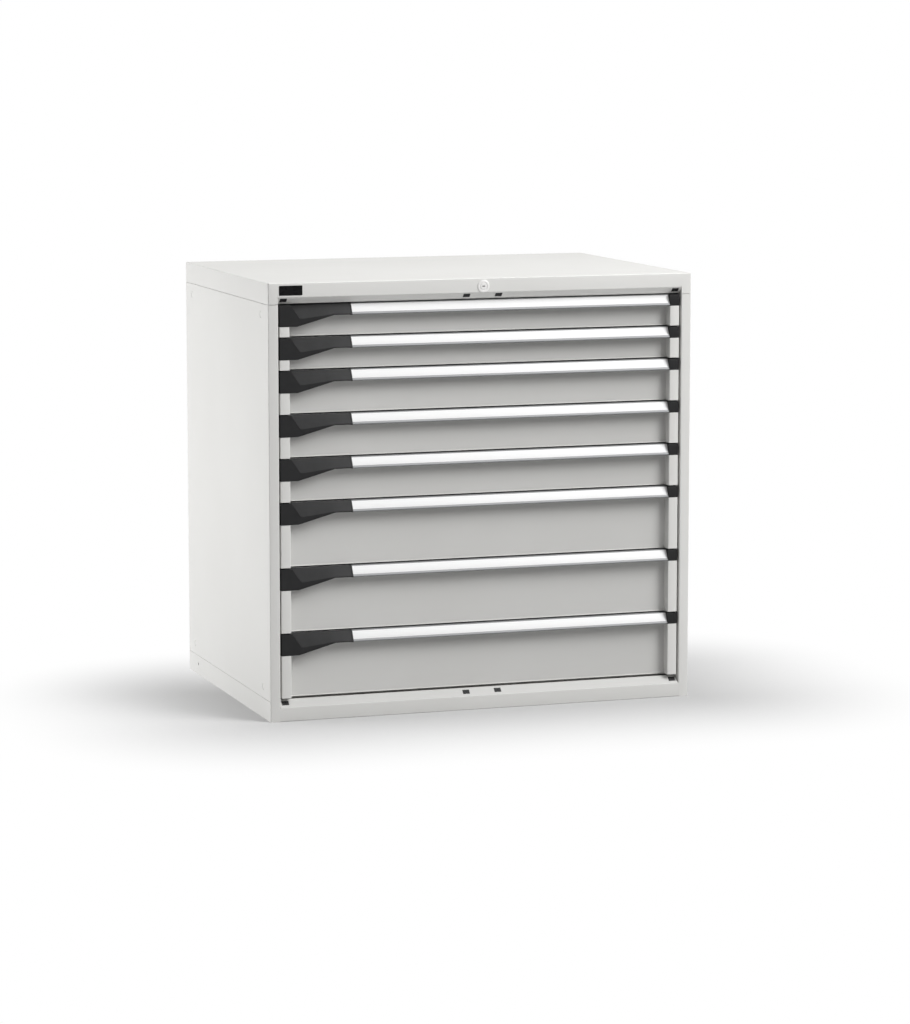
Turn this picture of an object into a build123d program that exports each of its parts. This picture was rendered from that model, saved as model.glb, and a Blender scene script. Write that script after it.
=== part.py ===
from build123d import *
import os
from math import cos, radians, sqrt, tan

# Eight-drawer steel cabinet, in millimetres.
# The origin is the middle of the footprint on the floor. +X is right, +Y is back, +Z is up, and the drawers
# open towards -Y. Every piece is one node, and drawer 1 is the top one.

# Cabinet size
cabinet_width = 1023.0
cabinet_depth = 725.0
front_pitches = [75.0, 75.0, 100.0, 100.0, 100.0, 150.0, 150.0, 150.0]  # from the top drawer down
base_height = 50.0  # floor to the top of the base deck
cover_height = 48.0  # skirt of the top cover
top_gap = 2.0  # cover skirt to the first drawer
front_gap = 3.0  # between one drawer front and the next

# Sheet metal
sheet = 1.5  # cabinet body
tray_sheet = 1.2  # drawers
weld_gap = 0.3  # between sheets that lie side by side

# Posts at both ends of the front
post_width = 24.0
post_return = 25.0
rear_fold = 25.0
top_flange = 20.0
flange_start = 72.5  # front edge of the side panels' top flange, behind the front plane

# Fascia of the cover and rail of the base
fascia_return = 14.5  # how far the cover's 45 degree return runs back, and down
fascia_lift = 0.5  # lower edge of that return above the seam
rail_return = 18.0  # how far the base's 45 degree return runs back, and up
relief_slit = 1.5  # slit between return and post
seam_drop = 3.0  # joint of side panel and base skirt, below the deck
joggle_height = 20.0  # inner strip that joins the base skirt to the deck
floor_flange = 20.0
slot_length = 15.5
slot_width = 10.5  # measured up the slope
slot_end_inset = 13.5  # outer slots from the posts' inner edge
slot_middle_offset = 38.6  # inner slots from the middle
plug_clearance = 0.2
plug_depth = 4.0
plug_head = 0.6  # how far a plug stands proud of the slope
anchor_hole_radius = 3.5
anchor_hole_from_back = 85.0
anchor_hole_height = 26.0

# Uprights and their slots
upright_width = 18.0
upright_depth = 40.0
upright_inset = 52.5  # front upright behind the front plane
rear_upright_inset = 67.5  # rear upright in front of the back plane
slot_pitch = 25.0
hook_slot_width = 6.0
hook_slot_height = 14.0

# Runners: a fixed rail on the uprights, a middle rail, and a rail on the tray
front_play = 4.0  # drawer front to post, at each side
opening_clearance = 1.0  # moving rails to the posts' inner edge
runner_height = 31.0
runner_sheet = 1.5
runner_play = 0.4  # flat gap between rails
runner_web = 2.0
runner_lift = 20.0  # rail centre above the drawer front's lower edge
fixed_rail_set_back = 28.5  # front end of the fixed rails behind the front plane
fixed_rail_length = 634.0
mid_rail_set_back = 29.5
roller_inset = 15.0  # roller axis behind the fixed rail's front end
roller_side_play = 1.2
extension_stop_gap = 0.3  # middle rail to the fixed rail's end plate

# Drawers
front_recess = 3.0  # drawer fronts behind the front plane
panel_recess = 23.0  # recessed front panel behind the shoulders
shoulder_width = 23.0
tray_length = 612.0  # inside, front to back
tray_floor_lift = 2.0  # tray floor above the front's lower edge
tray_rim_drop = 10.0  # tray rim below the front's upper edge
panel_lip = 2.5  # forward hem at the foot of the front panel

# Grip bar
bar_height = 26.0
bar_top_recess = 13.0  # upper edge of the slope behind the shoulders
bar_slope_height = 24.0
bar_wall = 2.0
bar_lip_wall = 2.5
channel_depth = 1.6
channel_top_lip = 1.2
channel_foot_lip = 3.7
bar_flange_height = 20.0
bar_left_from_middle = 312.0
end_plate = 3.5
strip_clearance = 0.2
strip_thickness = 1.3

# Catch lever
catch_gap = 0.5  # lever to the pieces beside it
catch_height = 49.0
catch_flat = 41.5  # flat lower edge, from the left end
catch_corner_run = 11.0
catch_corner_rise = 3.0
catch_ramp_end = 128.5  # where the rising lower edge ends, from the left end
catch_tail_height = 25.0
catch_depth = 20.0
catch_wall = 3.0
facet_top_start = 25.5  # upper left corner of the inclined facet, from the left end
facet_foot_start = 46.5
facet_foot_drop = 30.0
facet_ridge_start = 51.5
facet_ridge_drop = 32.0
facet_tail_drop = 22.5
facet_tail_recess = 12.0
rod_radius = 2.0
rod_play = 0.1
rod_fit = 0.05
rod_depth = 16.5
rod_drop = 11.0
lug_thickness = 2.0
lug_side = 7.0
lug_gap = 1.5  # lug to the lever's end wall

# Lock
lock_below_top = 18.5
lock_ring_radius = 14.2
lock_ring_thickness = 1.2
lock_barrel_radius = 9.8
lock_barrel_length = 27.5
lock_hole_play = 0.2
lock_core_radius = 7.7
lock_core_play = 0.05
lock_core_proud = 0.2
lock_core_tail = 2.0
lock_nut_radius = 14.0
lock_nut_thickness = 4.0
keyway_width = 7.0
keyway_height = 1.6
keyway_depth = 18.0
cam_thickness = 2.5
cam_hub_radius = 7.0
cam_pin_radius = 2.0
cam_pin_gap = 0.5
lock_stroke = 6.0
lock_bar_set_back = 42.5
lock_bar_thickness = 3.0
lock_bar_height = 12.0
lock_bar_lift = 15.8  # lower edge of the bar above the cover's seam
lock_tab_width = 30.0
lock_tab_rise = 5.2
lock_strip_width = 8.0
lock_strip_play = 1.0
lock_finger_height = 10.0
lock_finger_lift = 43.0  # above the drawer front's lower edge
lock_finger_reach = 12.5
lock_lug_gap = 4.0
lock_lug_height = 12.0
lock_lug_thickness = 2.0
guide_positions = [150.0, 400.0]
guide_width = 15.0
guide_play = 0.3
guide_lip = 5.0

# Name plate, left bare
plate_inset = 26.2
plate_length = 54.5
plate_height = 22.0
plate_below_top = 6.0
plate_thickness = 0.8

# Planes and edges that follow from the sizes above
half_width = cabinet_width / 2
front_y = -cabinet_depth / 2
back_y = cabinet_depth / 2
seam_z = base_height + sum(front_pitches) + top_gap
cabinet_height = seam_z + cover_height
seam_height = base_height - seam_drop
skin_x = half_width - sheet
post_x = half_width - post_width
drawer_front_y = front_y + front_recess
front_half_width = post_x - front_play
shoulder_x = front_half_width - shoulder_width
panel_y = drawer_front_y + panel_recess
tray_inner_x = shoulder_x - tray_sheet - weld_gap
tray_outer_x = tray_inner_x + tray_sheet
tray_front_y = panel_y + tray_sheet
tray_back_y = tray_front_y + tray_length
upright_x = skin_x - upright_width
rail_half = runner_height / 2
rail_inner_half = rail_half - runner_sheet
mid_outer_x = post_x - opening_clearance
mid_web_x = (tray_outer_x + upright_x) / 2
fixed_rail_y = front_y + fixed_rail_set_back
fixed_rail_end = fixed_rail_y + fixed_rail_length
mid_rail_y = front_y + mid_rail_set_back
catch_left = -front_half_width
bar_left = -bar_left_from_middle
catch_right = bar_left - end_plate - catch_gap
lock_z = cabinet_height - lock_below_top
lock_bar_y = front_y + lock_bar_set_back
lock_bar_z = seam_z + lock_bar_lift
lock_strip_right = skin_x - lock_strip_play
cam_throw = lock_stroke / 2
cam_radius = cam_throw * sqrt(2)
return_slope = 45.0


def block(x0, x1, y0, y1, z0, z1):
    """A box between two corners."""
    return Pos((x0 + x1) / 2, (y0 + y1) / 2, (z0 + z1) / 2) * Box(x1 - x0, y1 - y0, z1 - z0)


def along_x(outline, x0, x1):
    """A (y, z) outline carried from x0 to x1."""
    face = Plane.YZ.offset(x0) * Polygon(*outline, align=None)
    return extrude(face, amount=x1 - x0, dir=(1, 0, 0))


def along_y(outline, y0, y1):
    """An (x, z) outline carried from y0 to y1."""
    face = Plane.XZ.offset(-y0) * Polygon(*outline, align=None)
    return extrude(face, amount=y1 - y0, dir=(0, 1, 0))


def rod_along_x(radius, x0, x1, y, z):
    return Pos((x0 + x1) / 2, y, z) * Rot(0, 90, 0) * Cylinder(radius, x1 - x0)


def rod_along_y(radius, y0, y1, x, z):
    return Pos(x, (y0 + y1) / 2, z) * Rot(90, 0, 0) * Cylinder(radius, y1 - y0)


def other_side(shape):
    return mirror(shape, about=Plane.YZ)


def save(name, shape):
    shape.label = name
    export_step(shape, f"parts/{name}.step")


def save_group(name, solids):
    save(name, Compound(children=solids))


# Side panels, back panel and uprights
def side_panel():
    """Left panel: skin, front post down to the floor, rear fold and top flange."""
    skin = block(-half_width, -skin_x, front_y, back_y, seam_height, seam_z)
    post = block(-half_width, -post_x, front_y, front_y + sheet, 0, seam_z)
    post_side = block(-post_x - sheet, -post_x, front_y, front_y + post_return, 0, seam_z)
    rear = block(-half_width, -half_width + rear_fold, back_y - sheet, back_y, seam_height, seam_z)
    top = block(
        -skin_x, -half_width + top_flange, front_y + flange_start, back_y - sheet, seam_z - sheet, seam_z
    )
    return skin + post + post_side + rear + top


def back_panel():
    inside = skin_x - weld_gap
    return block(-inside, inside, back_y - 2 * sheet, back_y - sheet, base_height, seam_z - sheet)


def upright(y0):
    """A left column, open towards the side panel, with hook slots at an even pitch."""
    y1 = y0 + upright_depth
    z0 = base_height
    z1 = seam_z - sheet - weld_gap
    web = block(-upright_x - sheet, -upright_x, y0, y1, z0, z1)
    slot_count = int((z1 - z0) / slot_pitch) - 1
    middle = (y0 + y1) / 2
    for n in range(slot_count):
        z = z0 + slot_pitch * (n + 1)
        web -= block(
            -upright_x - 2 * sheet,
            -upright_x + sheet,
            middle - hook_slot_width / 2,
            middle + hook_slot_width / 2,
            z - hook_slot_height / 2,
            z + hook_slot_height / 2,
        )
    front = block(-skin_x, -upright_x, y0, y0 + sheet, z0, z1)
    rear = block(-skin_x, -upright_x, y1 - sheet, y1, z0, z1)
    return web + front + rear


# The four slots of a 45 degree return, and the plugs that close them
def slot_places():
    end = post_x - slot_end_inset
    return [-end, -slot_middle_offset, slot_middle_offset, end]


def sloped_box(x, y, z, length, width, depth, tilt):
    """A box centred on a slope, its length along X, its width up the slope."""
    return Pos(x, y, z) * Rot(tilt, 0, 0) * Box(length, depth, width)


def cover_slope_middle():
    return front_y + fascia_return / 2, seam_z + fascia_lift + fascia_return / 2


def base_slope_middle():
    return front_y + rail_return / 2, base_height - rail_return / 2


def slot_plug(x, y, z, tilt):
    """A plug whose head stands just proud of the slope's outer face."""
    side = slot_length - plug_clearance
    width = slot_width - plug_clearance
    inwards = (plug_depth / 2 - plug_head) * cos(radians(return_slope))
    rise = inwards if tilt > 0 else -inwards
    return sloped_box(x, y + inwards, z + rise, side, width, plug_depth, tilt)


def cut_slots(shape, place, tilt):
    y, z = place
    for x in slot_places():
        shape -= sloped_box(x, y, z, slot_length, slot_width, 4 * sheet, tilt)
    return shape


# Top cover: plate, skirts, fascia with its return, and the guides of the lock bar
def fascia_profile():
    bend_z = seam_z + fascia_lift + fascia_return
    step = sheet / sqrt(2)
    foot_y = front_y + fascia_return
    foot_z = seam_z + fascia_lift
    return [
        (front_y, cabinet_height),
        (front_y, bend_z),
        (foot_y, foot_z),
        (foot_y + step, foot_z + step),
        (front_y + sheet, bend_z + sheet * tan(radians(return_slope / 2))),
        (front_y + sheet, cabinet_height),
    ]


def lock_guide(x):
    """A strap from the cover's plate that carries the lock bar from below."""
    foot = lock_bar_z - guide_play - sheet
    rear = lock_bar_y + lock_bar_thickness + guide_play
    front = lock_bar_y - guide_play - sheet
    strap = block(x, x + guide_width, rear, rear + sheet, foot, cabinet_height - sheet)
    ledge = block(x, x + guide_width, front, rear, foot, foot + sheet)
    lip = block(x, x + guide_width, front, front + sheet, foot, foot + guide_lip)
    return strap + ledge + lip


def top_cover():
    plate = block(-half_width, half_width, front_y, back_y, cabinet_height - sheet, cabinet_height)
    side = block(-half_width, -skin_x, front_y, back_y, seam_z, cabinet_height)
    rear = block(-half_width, half_width, back_y - sheet, back_y, seam_z, cabinet_height)
    corner = block(-half_width, -post_x - relief_slit, front_y, front_y + sheet, seam_z, cabinet_height)
    bend_z = fascia_profile()[1][1]
    upper = block(-half_width, half_width, front_y, front_y + sheet, bend_z, cabinet_height)
    fascia = along_x(fascia_profile(), -post_x, post_x)
    cover = plate + side + other_side(side) + rear + upper + fascia + corner + other_side(corner)
    cover = cut_slots(cover, cover_slope_middle(), return_slope)
    lock_hole_radius = lock_barrel_radius + lock_hole_play
    cover -= rod_along_y(lock_hole_radius, front_y - sheet, front_y + 2 * sheet, 0, lock_z)
    for x in guide_positions:
        cover += lock_guide(x)
    return cover


# Base: front rail with its return, deck, skirts and floor flanges
def rail_profile():
    bend_z = base_height - rail_return
    hem = sheet * tan(radians(return_slope / 2))
    return [
        (front_y, 0),
        (front_y, bend_z),
        (front_y + rail_return, base_height),
        (front_y + post_return + weld_gap, base_height),
        (front_y + post_return + weld_gap, base_height - sheet),
        (front_y + rail_return + hem, base_height - sheet),
        (front_y + sheet, bend_z - hem),
        (front_y + sheet, sheet),
        (front_y + floor_flange, sheet),
        (front_y + floor_flange, 0),
    ]


def base():
    rail = along_x(rail_profile(), -post_x, post_x)
    deck_front = front_y + post_return + weld_gap
    deck_rear = back_y - 2 * sheet
    deck = block(-skin_x, skin_x, deck_front, back_y - sheet, base_height - sheet, base_height)
    skirt_top = seam_height - weld_gap
    skirt = block(-half_width, -skin_x, front_y + sheet, back_y, 0, skirt_top)
    joggle_z = base_height - joggle_height
    joggle = block(-skin_x, -skin_x + sheet, deck_front, deck_rear, joggle_z, base_height)
    foot = block(-skin_x, -half_width + floor_flange, deck_front, back_y - sheet, 0, sheet)
    anchor_y = back_y - anchor_hole_from_back
    drill_end = -skin_x + sheet
    drill = rod_along_x(anchor_hole_radius, -half_width - sheet, drill_end, anchor_y, anchor_hole_height)
    side = skirt + joggle + foot - drill
    rear_skirt = block(-half_width, half_width, back_y - sheet, back_y, 0, skirt_top)
    rear_joggle = block(-skin_x, skin_x, deck_rear, back_y - sheet, joggle_z, base_height)
    rear_foot = block(-skin_x, skin_x, back_y - floor_flange, back_y - sheet, 0, sheet)
    shape = rail + deck + side + other_side(side) + rear_skirt + rear_joggle + rear_foot
    return cut_slots(shape, base_slope_middle(), -return_slope)


# Drawer positions: lower and upper edge of each front
def drawer_edges():
    edges = []
    low = base_height + sum(front_pitches)
    for pitch in front_pitches:
        low -= pitch
        edges.append((low + front_gap, low + pitch))
    return edges


# Runners
def fixed_rail(low):
    """Left rail, open inwards, with an end plate that stops the middle rail."""
    z = low + runner_lift
    foot = z - rail_half
    head = z + rail_half
    rail = block(-upright_x, -upright_x + runner_web, fixed_rail_y, fixed_rail_end, foot, head)
    lip_x = mid_web_x + runner_web / 2 + runner_play
    for side in (-1, 1):
        z0, z1 = sorted((z + side * rail_half, z + side * rail_inner_half))
        rail += block(-upright_x, -lip_x, fixed_rail_y, fixed_rail_end, z0, z1)
    rail += block(-upright_x, -lip_x, fixed_rail_end - runner_sheet, fixed_rail_end, foot, head)
    return rail


def roller(low):
    radius = rail_inner_half - runner_play - runner_sheet - runner_play
    x0 = -upright_x + runner_web
    x1 = -mid_web_x - runner_web / 2 - roller_side_play
    return rod_along_x(radius, x0, x1, fixed_rail_y + roller_inset, low + runner_lift)


def mid_rail(low):
    """Left middle rail, an I section that runs inside the fixed rail and carries the tray's rail."""
    z = low + runner_lift
    outer = rail_inner_half - runner_play
    inner = outer - runner_sheet
    web = runner_web / 2
    tray_side = tray_outer_x + runner_play + runner_web
    length = fixed_rail_end - runner_sheet - extension_stop_gap - mid_rail_y
    y0 = mid_rail_y
    rail = block(-mid_web_x - web, -mid_web_x + web, y0, y0 + length, z - outer, z + outer)
    for side in (-1, 1):
        z0, z1 = sorted((z + side * outer, z + side * inner))
        rail += block(-mid_outer_x, -tray_side, y0, y0 + length, z0, z1)
    return rail


# Drawer tray with its recessed front
def shoulder(left, low, high):
    """A folded box beside the recessed panel, closed above and below."""
    right = left + shoulder_width
    outer = block(left, right, drawer_front_y, tray_front_y, low, high)
    return outer - block(
        left + tray_sheet,
        right - tray_sheet,
        drawer_front_y + tray_sheet,
        panel_y,
        low + tray_sheet,
        high - tray_sheet,
    )


def catch_lug(x, high):
    """A lug of the front panel with a square hole for the lever's rod."""
    y = drawer_front_y + rod_depth
    z = high - rod_drop
    plate = block(x, x + lug_thickness, y - lug_side / 2, panel_y, z - lug_side / 2, z + lug_side / 2)
    hole = rod_radius + rod_play
    return plate - block(x - lug_gap, x + lug_thickness + lug_gap, y - hole, y + hole, z - hole, z + hole)


def tray_front(low, high):
    """The recessed panel with its hem, the shoulders at its ends and the lever's two lugs."""
    shape = block(-front_half_width, front_half_width, panel_y, tray_front_y, low, high)
    shape += block(-shoulder_x, shoulder_x, panel_y - panel_lip, panel_y, low, low + tray_sheet)
    shape += shoulder(-front_half_width, low, high - catch_height - catch_gap)
    shape += shoulder(shoulder_x, low, high - bar_height)
    shape += catch_lug(catch_left + catch_wall + lug_gap, high)
    shape += catch_lug(catch_right - catch_wall - lug_gap - lug_thickness, high)
    return shape


def tray_body(low, high):
    """Floor, back and sides, spot-welded sheets that the front's panel closes."""
    floor_z = low + tray_floor_lift
    wall_z = floor_z + tray_sheet
    rim_z = high - tray_rim_drop
    rear_y = tray_back_y + tray_sheet
    floor = block(-tray_outer_x, tray_outer_x, tray_front_y, rear_y, floor_z, wall_z)
    rear = block(-tray_inner_x, tray_inner_x, tray_back_y, rear_y, wall_z, rim_z)
    side = block(-tray_outer_x, -tray_inner_x, tray_front_y, rear_y, wall_z, rim_z)
    return [floor, rear, side, other_side(side)]


def tray_rail(low):
    """Left rail of the tray, open outwards, that rides in the middle rail."""
    z = low + runner_lift
    tip_x = mid_web_x - runner_web / 2 - runner_play
    wall = tray_outer_x + runner_web
    rail = block(-tip_x, -tray_outer_x, tray_front_y, tray_back_y, z - rail_half, z + rail_half)
    foot = z - rail_inner_half
    head = z + rail_inner_half
    return rail - block(-mid_web_x, -wall, panel_y, tray_back_y + tray_sheet, foot, head)


def lock_lug(low):
    """The lug beside the tray that the lock bar's finger holds back."""
    y = lock_bar_y + lock_bar_thickness + lock_lug_gap
    z = low + lock_finger_lift - (lock_lug_height - lock_finger_height) / 2
    return block(tray_outer_x, mid_outer_x, y, y + lock_lug_thickness, z, z + lock_lug_height)


# Grip bar: points on its slope are given by the way down the slope and the height off it
def slope_point(high, down, off):
    length = sqrt(bar_top_recess**2 + bar_slope_height**2)
    y = bar_top_recess - (down * bar_top_recess + off * bar_slope_height) / length
    drop = (down * bar_slope_height - off * bar_top_recess) / length
    return drawer_front_y + y, high - drop


def slope_length():
    return sqrt(bar_top_recess**2 + bar_slope_height**2)


def bar_profile(high):
    wall = channel_depth + bar_wall
    channel_end = slope_length() - channel_foot_lip
    lean = bar_top_recess / bar_slope_height
    wall_run = wall * slope_length() / bar_slope_height
    top_inner_y = drawer_front_y + bar_top_recess + wall_run - lean * bar_wall
    return [
        slope_point(high, 0, 0),
        slope_point(high, channel_top_lip, 0),
        slope_point(high, channel_top_lip, -channel_depth),
        slope_point(high, channel_end, -channel_depth),
        slope_point(high, channel_end, 0),
        slope_point(high, slope_length(), 0),
        (drawer_front_y, high - bar_height),
        (drawer_front_y + bar_lip_wall, high - bar_height),
        slope_point(high, channel_end + channel_depth / 2, -wall),
        (top_inner_y, high - bar_wall),
        (panel_y - bar_wall, high - bar_wall),
        (panel_y - bar_wall, high - bar_flange_height),
        (panel_y, high - bar_flange_height),
        (panel_y, high),
    ]


def handle_bar(high):
    return along_x(bar_profile(high), bar_left, shoulder_x)


def label_strip(high):
    start = channel_top_lip + strip_clearance
    end = slope_length() - channel_foot_lip - strip_clearance
    outline = [
        slope_point(high, start, -channel_depth),
        slope_point(high, start, strip_thickness - channel_depth),
        slope_point(high, end, strip_thickness - channel_depth),
        slope_point(high, end, -channel_depth),
    ]
    return along_x(outline, bar_left + strip_clearance, shoulder_x - strip_clearance)


def end_cap(high):
    return block(shoulder_x, front_half_width, drawer_front_y, panel_y, high - bar_height, high)


def left_end_plate(high):
    outline = [
        slope_point(high, 0, 0),
        slope_point(high, slope_length(), 0),
        (drawer_front_y, high - bar_height),
        (panel_y, high - bar_height),
        (panel_y, high),
    ]
    return along_x(outline, bar_left - end_plate, bar_left)


# Catch lever: a shell open below and behind, with an inclined facet in its front
def catch_outline(high):
    return [
        (catch_left, high),
        (catch_left, high - catch_height),
        (catch_left + catch_flat, high - catch_height),
        (catch_left + catch_flat + catch_corner_run, high - catch_height + catch_corner_rise),
        (catch_left + catch_ramp_end, high - catch_tail_height),
        (catch_right, high - catch_tail_height),
        (catch_right, high),
    ]


def facet_wedges(high):
    """What is cut from the front above the facet: a tapering wedge, then one of even section."""
    turn_x = catch_left + catch_ramp_end
    ridge_x = catch_left + facet_ridge_start
    fall = (facet_ridge_drop - facet_tail_drop) / (turn_x - ridge_x)
    steep = facet_tail_recess / facet_tail_drop
    region = [
        (catch_left + facet_top_start, high),
        (catch_left + facet_foot_start, high - facet_foot_drop),
        (ridge_x, high - facet_ridge_drop),
        (turn_x, high - facet_tail_drop),
        (turn_x, high),
    ]
    slab = along_y(region, drawer_front_y, drawer_front_y + 2 * catch_depth)
    facet = Plane(origin=(turn_x, drawer_front_y, high - facet_tail_drop), z_dir=(steep * fall, -1, -steep))
    left = split(slab, bisect_by=facet, keep=Keep.TOP)
    tail = [
        (drawer_front_y, high - facet_tail_drop),
        (drawer_front_y + facet_tail_recess, high),
        (drawer_front_y, high),
    ]
    return left, along_x(tail, turn_x, catch_right)


def catch(high):
    rear_y = drawer_front_y + catch_depth
    lever = along_y(catch_outline(high), drawer_front_y, rear_y)
    hollow = block(
        catch_left + catch_wall,
        catch_right - catch_wall,
        drawer_front_y + catch_wall,
        rear_y,
        high - 2 * catch_height,
        high - catch_wall,
    )
    steep = facet_tail_recess / facet_tail_drop
    off = catch_wall / sqrt(1 + steep**2)
    for wedge in facet_wedges(high):
        hollow -= Pos(0, off, -steep * off) * wedge
    left_wedge, tail_wedge = facet_wedges(high)
    hollow -= Pos(-catch_wall, off, -steep * off) * left_wedge
    lever = lever - left_wedge - tail_wedge - hollow
    hole = rod_radius + rod_fit
    y = drawer_front_y + rod_depth
    z = high - rod_drop
    lever -= block(catch_left, catch_right, y - hole, y + hole, z - hole, z + hole)
    rod = rod_along_x(rod_radius, catch_left + catch_wall / 2, catch_right - catch_wall / 2, y, z)
    return [lever, rod]


# Lock: body in the fascia, turning core with its cam, and the bar that the cam moves
def lock_body():
    ring = rod_along_y(lock_ring_radius, front_y - lock_ring_thickness, front_y, 0, lock_z)
    barrel = rod_along_y(lock_barrel_radius, front_y, front_y + lock_barrel_length, 0, lock_z)
    nut_y = front_y + sheet
    hexagon = Plane.XZ.offset(-nut_y) * Pos(0, lock_z) * RegularPolygon(lock_nut_radius, 6)
    nut = extrude(hexagon, amount=lock_nut_thickness, dir=(0, 1, 0))
    bore = rod_along_y(
        lock_core_radius, front_y - 2 * lock_ring_thickness, front_y + 2 * lock_barrel_length, 0, lock_z
    )
    return ring + barrel + nut - bore


def lock_core():
    radius = lock_core_radius - lock_core_play
    face_y = front_y - lock_ring_thickness - lock_core_proud
    cam_y = front_y + lock_barrel_length + lock_core_tail
    plug = rod_along_y(radius, face_y, cam_y, 0, lock_z)
    plug -= block(
        -keyway_width / 2,
        keyway_width / 2,
        face_y,
        face_y + keyway_depth,
        lock_z - keyway_height / 2,
        lock_z + keyway_height / 2,
    )
    hub = rod_along_y(cam_hub_radius, cam_y, cam_y + cam_thickness, 0, lock_z)
    pin_end = lock_bar_y + lock_bar_thickness
    pin = rod_along_y(cam_pin_radius, cam_y, pin_end, cam_throw, lock_z - cam_throw)
    return plug + hub + pin


def lock_bar():
    y0 = lock_bar_y
    y1 = y0 + lock_bar_thickness
    top_z = lock_bar_z + lock_bar_height
    tab_left = cam_throw - lock_tab_width / 2
    bar = block(tab_left, lock_strip_right, y0, y1, lock_bar_z, top_z)
    bar += block(tab_left, tab_left + lock_tab_width, y0, y1, lock_bar_z, top_z + lock_tab_rise)
    slot = cam_pin_radius + cam_pin_gap
    slot_foot = lock_z - cam_radius - slot - cam_pin_gap
    bar -= block(cam_throw - slot, cam_throw + slot, y0, y1, slot_foot, top_z + 2 * lock_tab_rise)
    strip_left = lock_strip_right - lock_strip_width
    bar += block(strip_left, lock_strip_right, y0, y1, base_height + guide_play, top_z)
    for low, high in drawer_edges():
        z = low + lock_finger_lift
        bar += block(strip_left - lock_finger_reach, strip_left, y0, y1, z, z + lock_finger_height)
    return bar


def name_plate():
    left = -half_width + plate_inset
    top = cabinet_height - plate_below_top
    return block(left, left + plate_length, front_y - plate_thickness, front_y, top - plate_height, top)


def build_cabinet():
    left = side_panel()
    save("left_side_panel", left)
    save("right_side_panel", other_side(left))
    save("back_panel", back_panel())
    save("top_cover", top_cover())
    save("base", base())
    columns = [upright(front_y + upright_inset), upright(back_y - rear_upright_inset - upright_depth)]
    save_group("uprights", columns + [other_side(c) for c in columns])
    rails = []
    for low, high in drawer_edges():
        rails += [fixed_rail(low), roller(low)]
    save_group("cabinet_runners", rails + [other_side(r) for r in rails])
    plugs = [slot_plug(x, *cover_slope_middle(), return_slope) for x in slot_places()]
    plugs += [slot_plug(x, *base_slope_middle(), -return_slope) for x in slot_places()]
    save_group("slot_plugs", plugs)
    save("name_plate", name_plate())
    save("lock_body", lock_body())
    save("lock_core", lock_core())
    save("lock_bar", lock_bar())


def build_drawer(number, low, high):
    name = f"drawer_{number}"
    side_rail = tray_rail(low)
    rails = [side_rail, other_side(side_rail)]
    save_group(f"{name}_tray", [tray_front(low, high), lock_lug(low)] + tray_body(low, high) + rails)
    save(f"{name}_handle_bar", handle_bar(high))
    save(f"{name}_label_strip", label_strip(high))
    save_group(f"{name}_bar_ends", [end_cap(high), left_end_plate(high)])
    save_group(f"{name}_catch", catch(high))
    rail = mid_rail(low)
    save_group(f"{name}_mid_runners", [rail, other_side(rail)])


os.makedirs("parts", exist_ok=True)
build_cabinet()
for number, (low, high) in enumerate(drawer_edges(), start=1):
    build_drawer(number, low, high)
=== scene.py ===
# Steel cabinet with eight drawers: the looks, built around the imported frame, in metres.
# +X is right, +Y is back, +Z is up, and the drawers open towards -Y. Drawer 1 is the top one.
import math

import bmesh
import bpy
import numpy as np
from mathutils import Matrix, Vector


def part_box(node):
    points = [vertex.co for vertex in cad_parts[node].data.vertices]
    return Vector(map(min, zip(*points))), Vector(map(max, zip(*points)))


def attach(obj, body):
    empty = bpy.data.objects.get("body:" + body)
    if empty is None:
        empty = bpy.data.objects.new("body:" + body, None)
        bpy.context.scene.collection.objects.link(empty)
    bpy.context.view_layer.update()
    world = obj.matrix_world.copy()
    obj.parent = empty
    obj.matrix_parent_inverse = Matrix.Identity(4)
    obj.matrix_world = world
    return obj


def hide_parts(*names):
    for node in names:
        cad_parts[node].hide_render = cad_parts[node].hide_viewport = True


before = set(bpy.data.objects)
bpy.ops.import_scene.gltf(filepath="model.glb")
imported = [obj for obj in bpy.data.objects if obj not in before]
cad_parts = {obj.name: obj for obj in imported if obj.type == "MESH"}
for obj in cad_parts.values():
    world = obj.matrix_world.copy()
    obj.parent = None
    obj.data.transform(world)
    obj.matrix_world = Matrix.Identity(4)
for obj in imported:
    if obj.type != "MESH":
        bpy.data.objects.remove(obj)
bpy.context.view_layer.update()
mm = 0.001  # every size below is in millimetres, and a mesh is written in metres
print("frame loaded:", len(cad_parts), "nodes")


def nodeBox(node):
    # lowest and highest corner of a node, in millimetres
    low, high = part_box(node)
    return np.array(low) / mm, np.array(high) / mm


cabinet = {
    "sheet": 1.5,
    "bend": 2.2,  # outside radius of the body's folds
    "postWidth": 24.0,
    "postReturn": 25.0,
    "rearFold": 25.0,
    "panelLift": 47.0,  # the side panels, but for their posts, end this high above the floor
    "footCut": 2.5,  # the posts' folds end above the plinth's rail, which reaches this far past them
    "seamGap": 0.9,  # shadow line under the cover and above the plinth
    "patch": 12.0,  # half width of the square that a round hole is set in
}
coverLow, coverHigh = nodeBox("top_cover")
skirtTop = nodeBox("left_side_panel")[0][2] + cabinet["panelLift"]
halfWidth, frontY, backY = coverHigh[0], coverLow[1], coverHigh[1]
seamZ, topZ, deckZ = coverLow[2], coverHigh[2], nodeBox("base")[1][2]
postX = halfWidth - cabinet["postWidth"]
air = 0.05  # between two shapes that would otherwise share a face
near = 0.1  # a cell this close to a plane lies on it
tip = 0.01  # radius at which a turned shape ends on its axis


# Paths and grids
def dropRepeats(path):
    # keeps each point that lies away from the one before it
    step = np.linalg.norm(np.diff(path, axis=0), axis=1)
    return path[np.concatenate([[True], step > 1e-5])]


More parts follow.
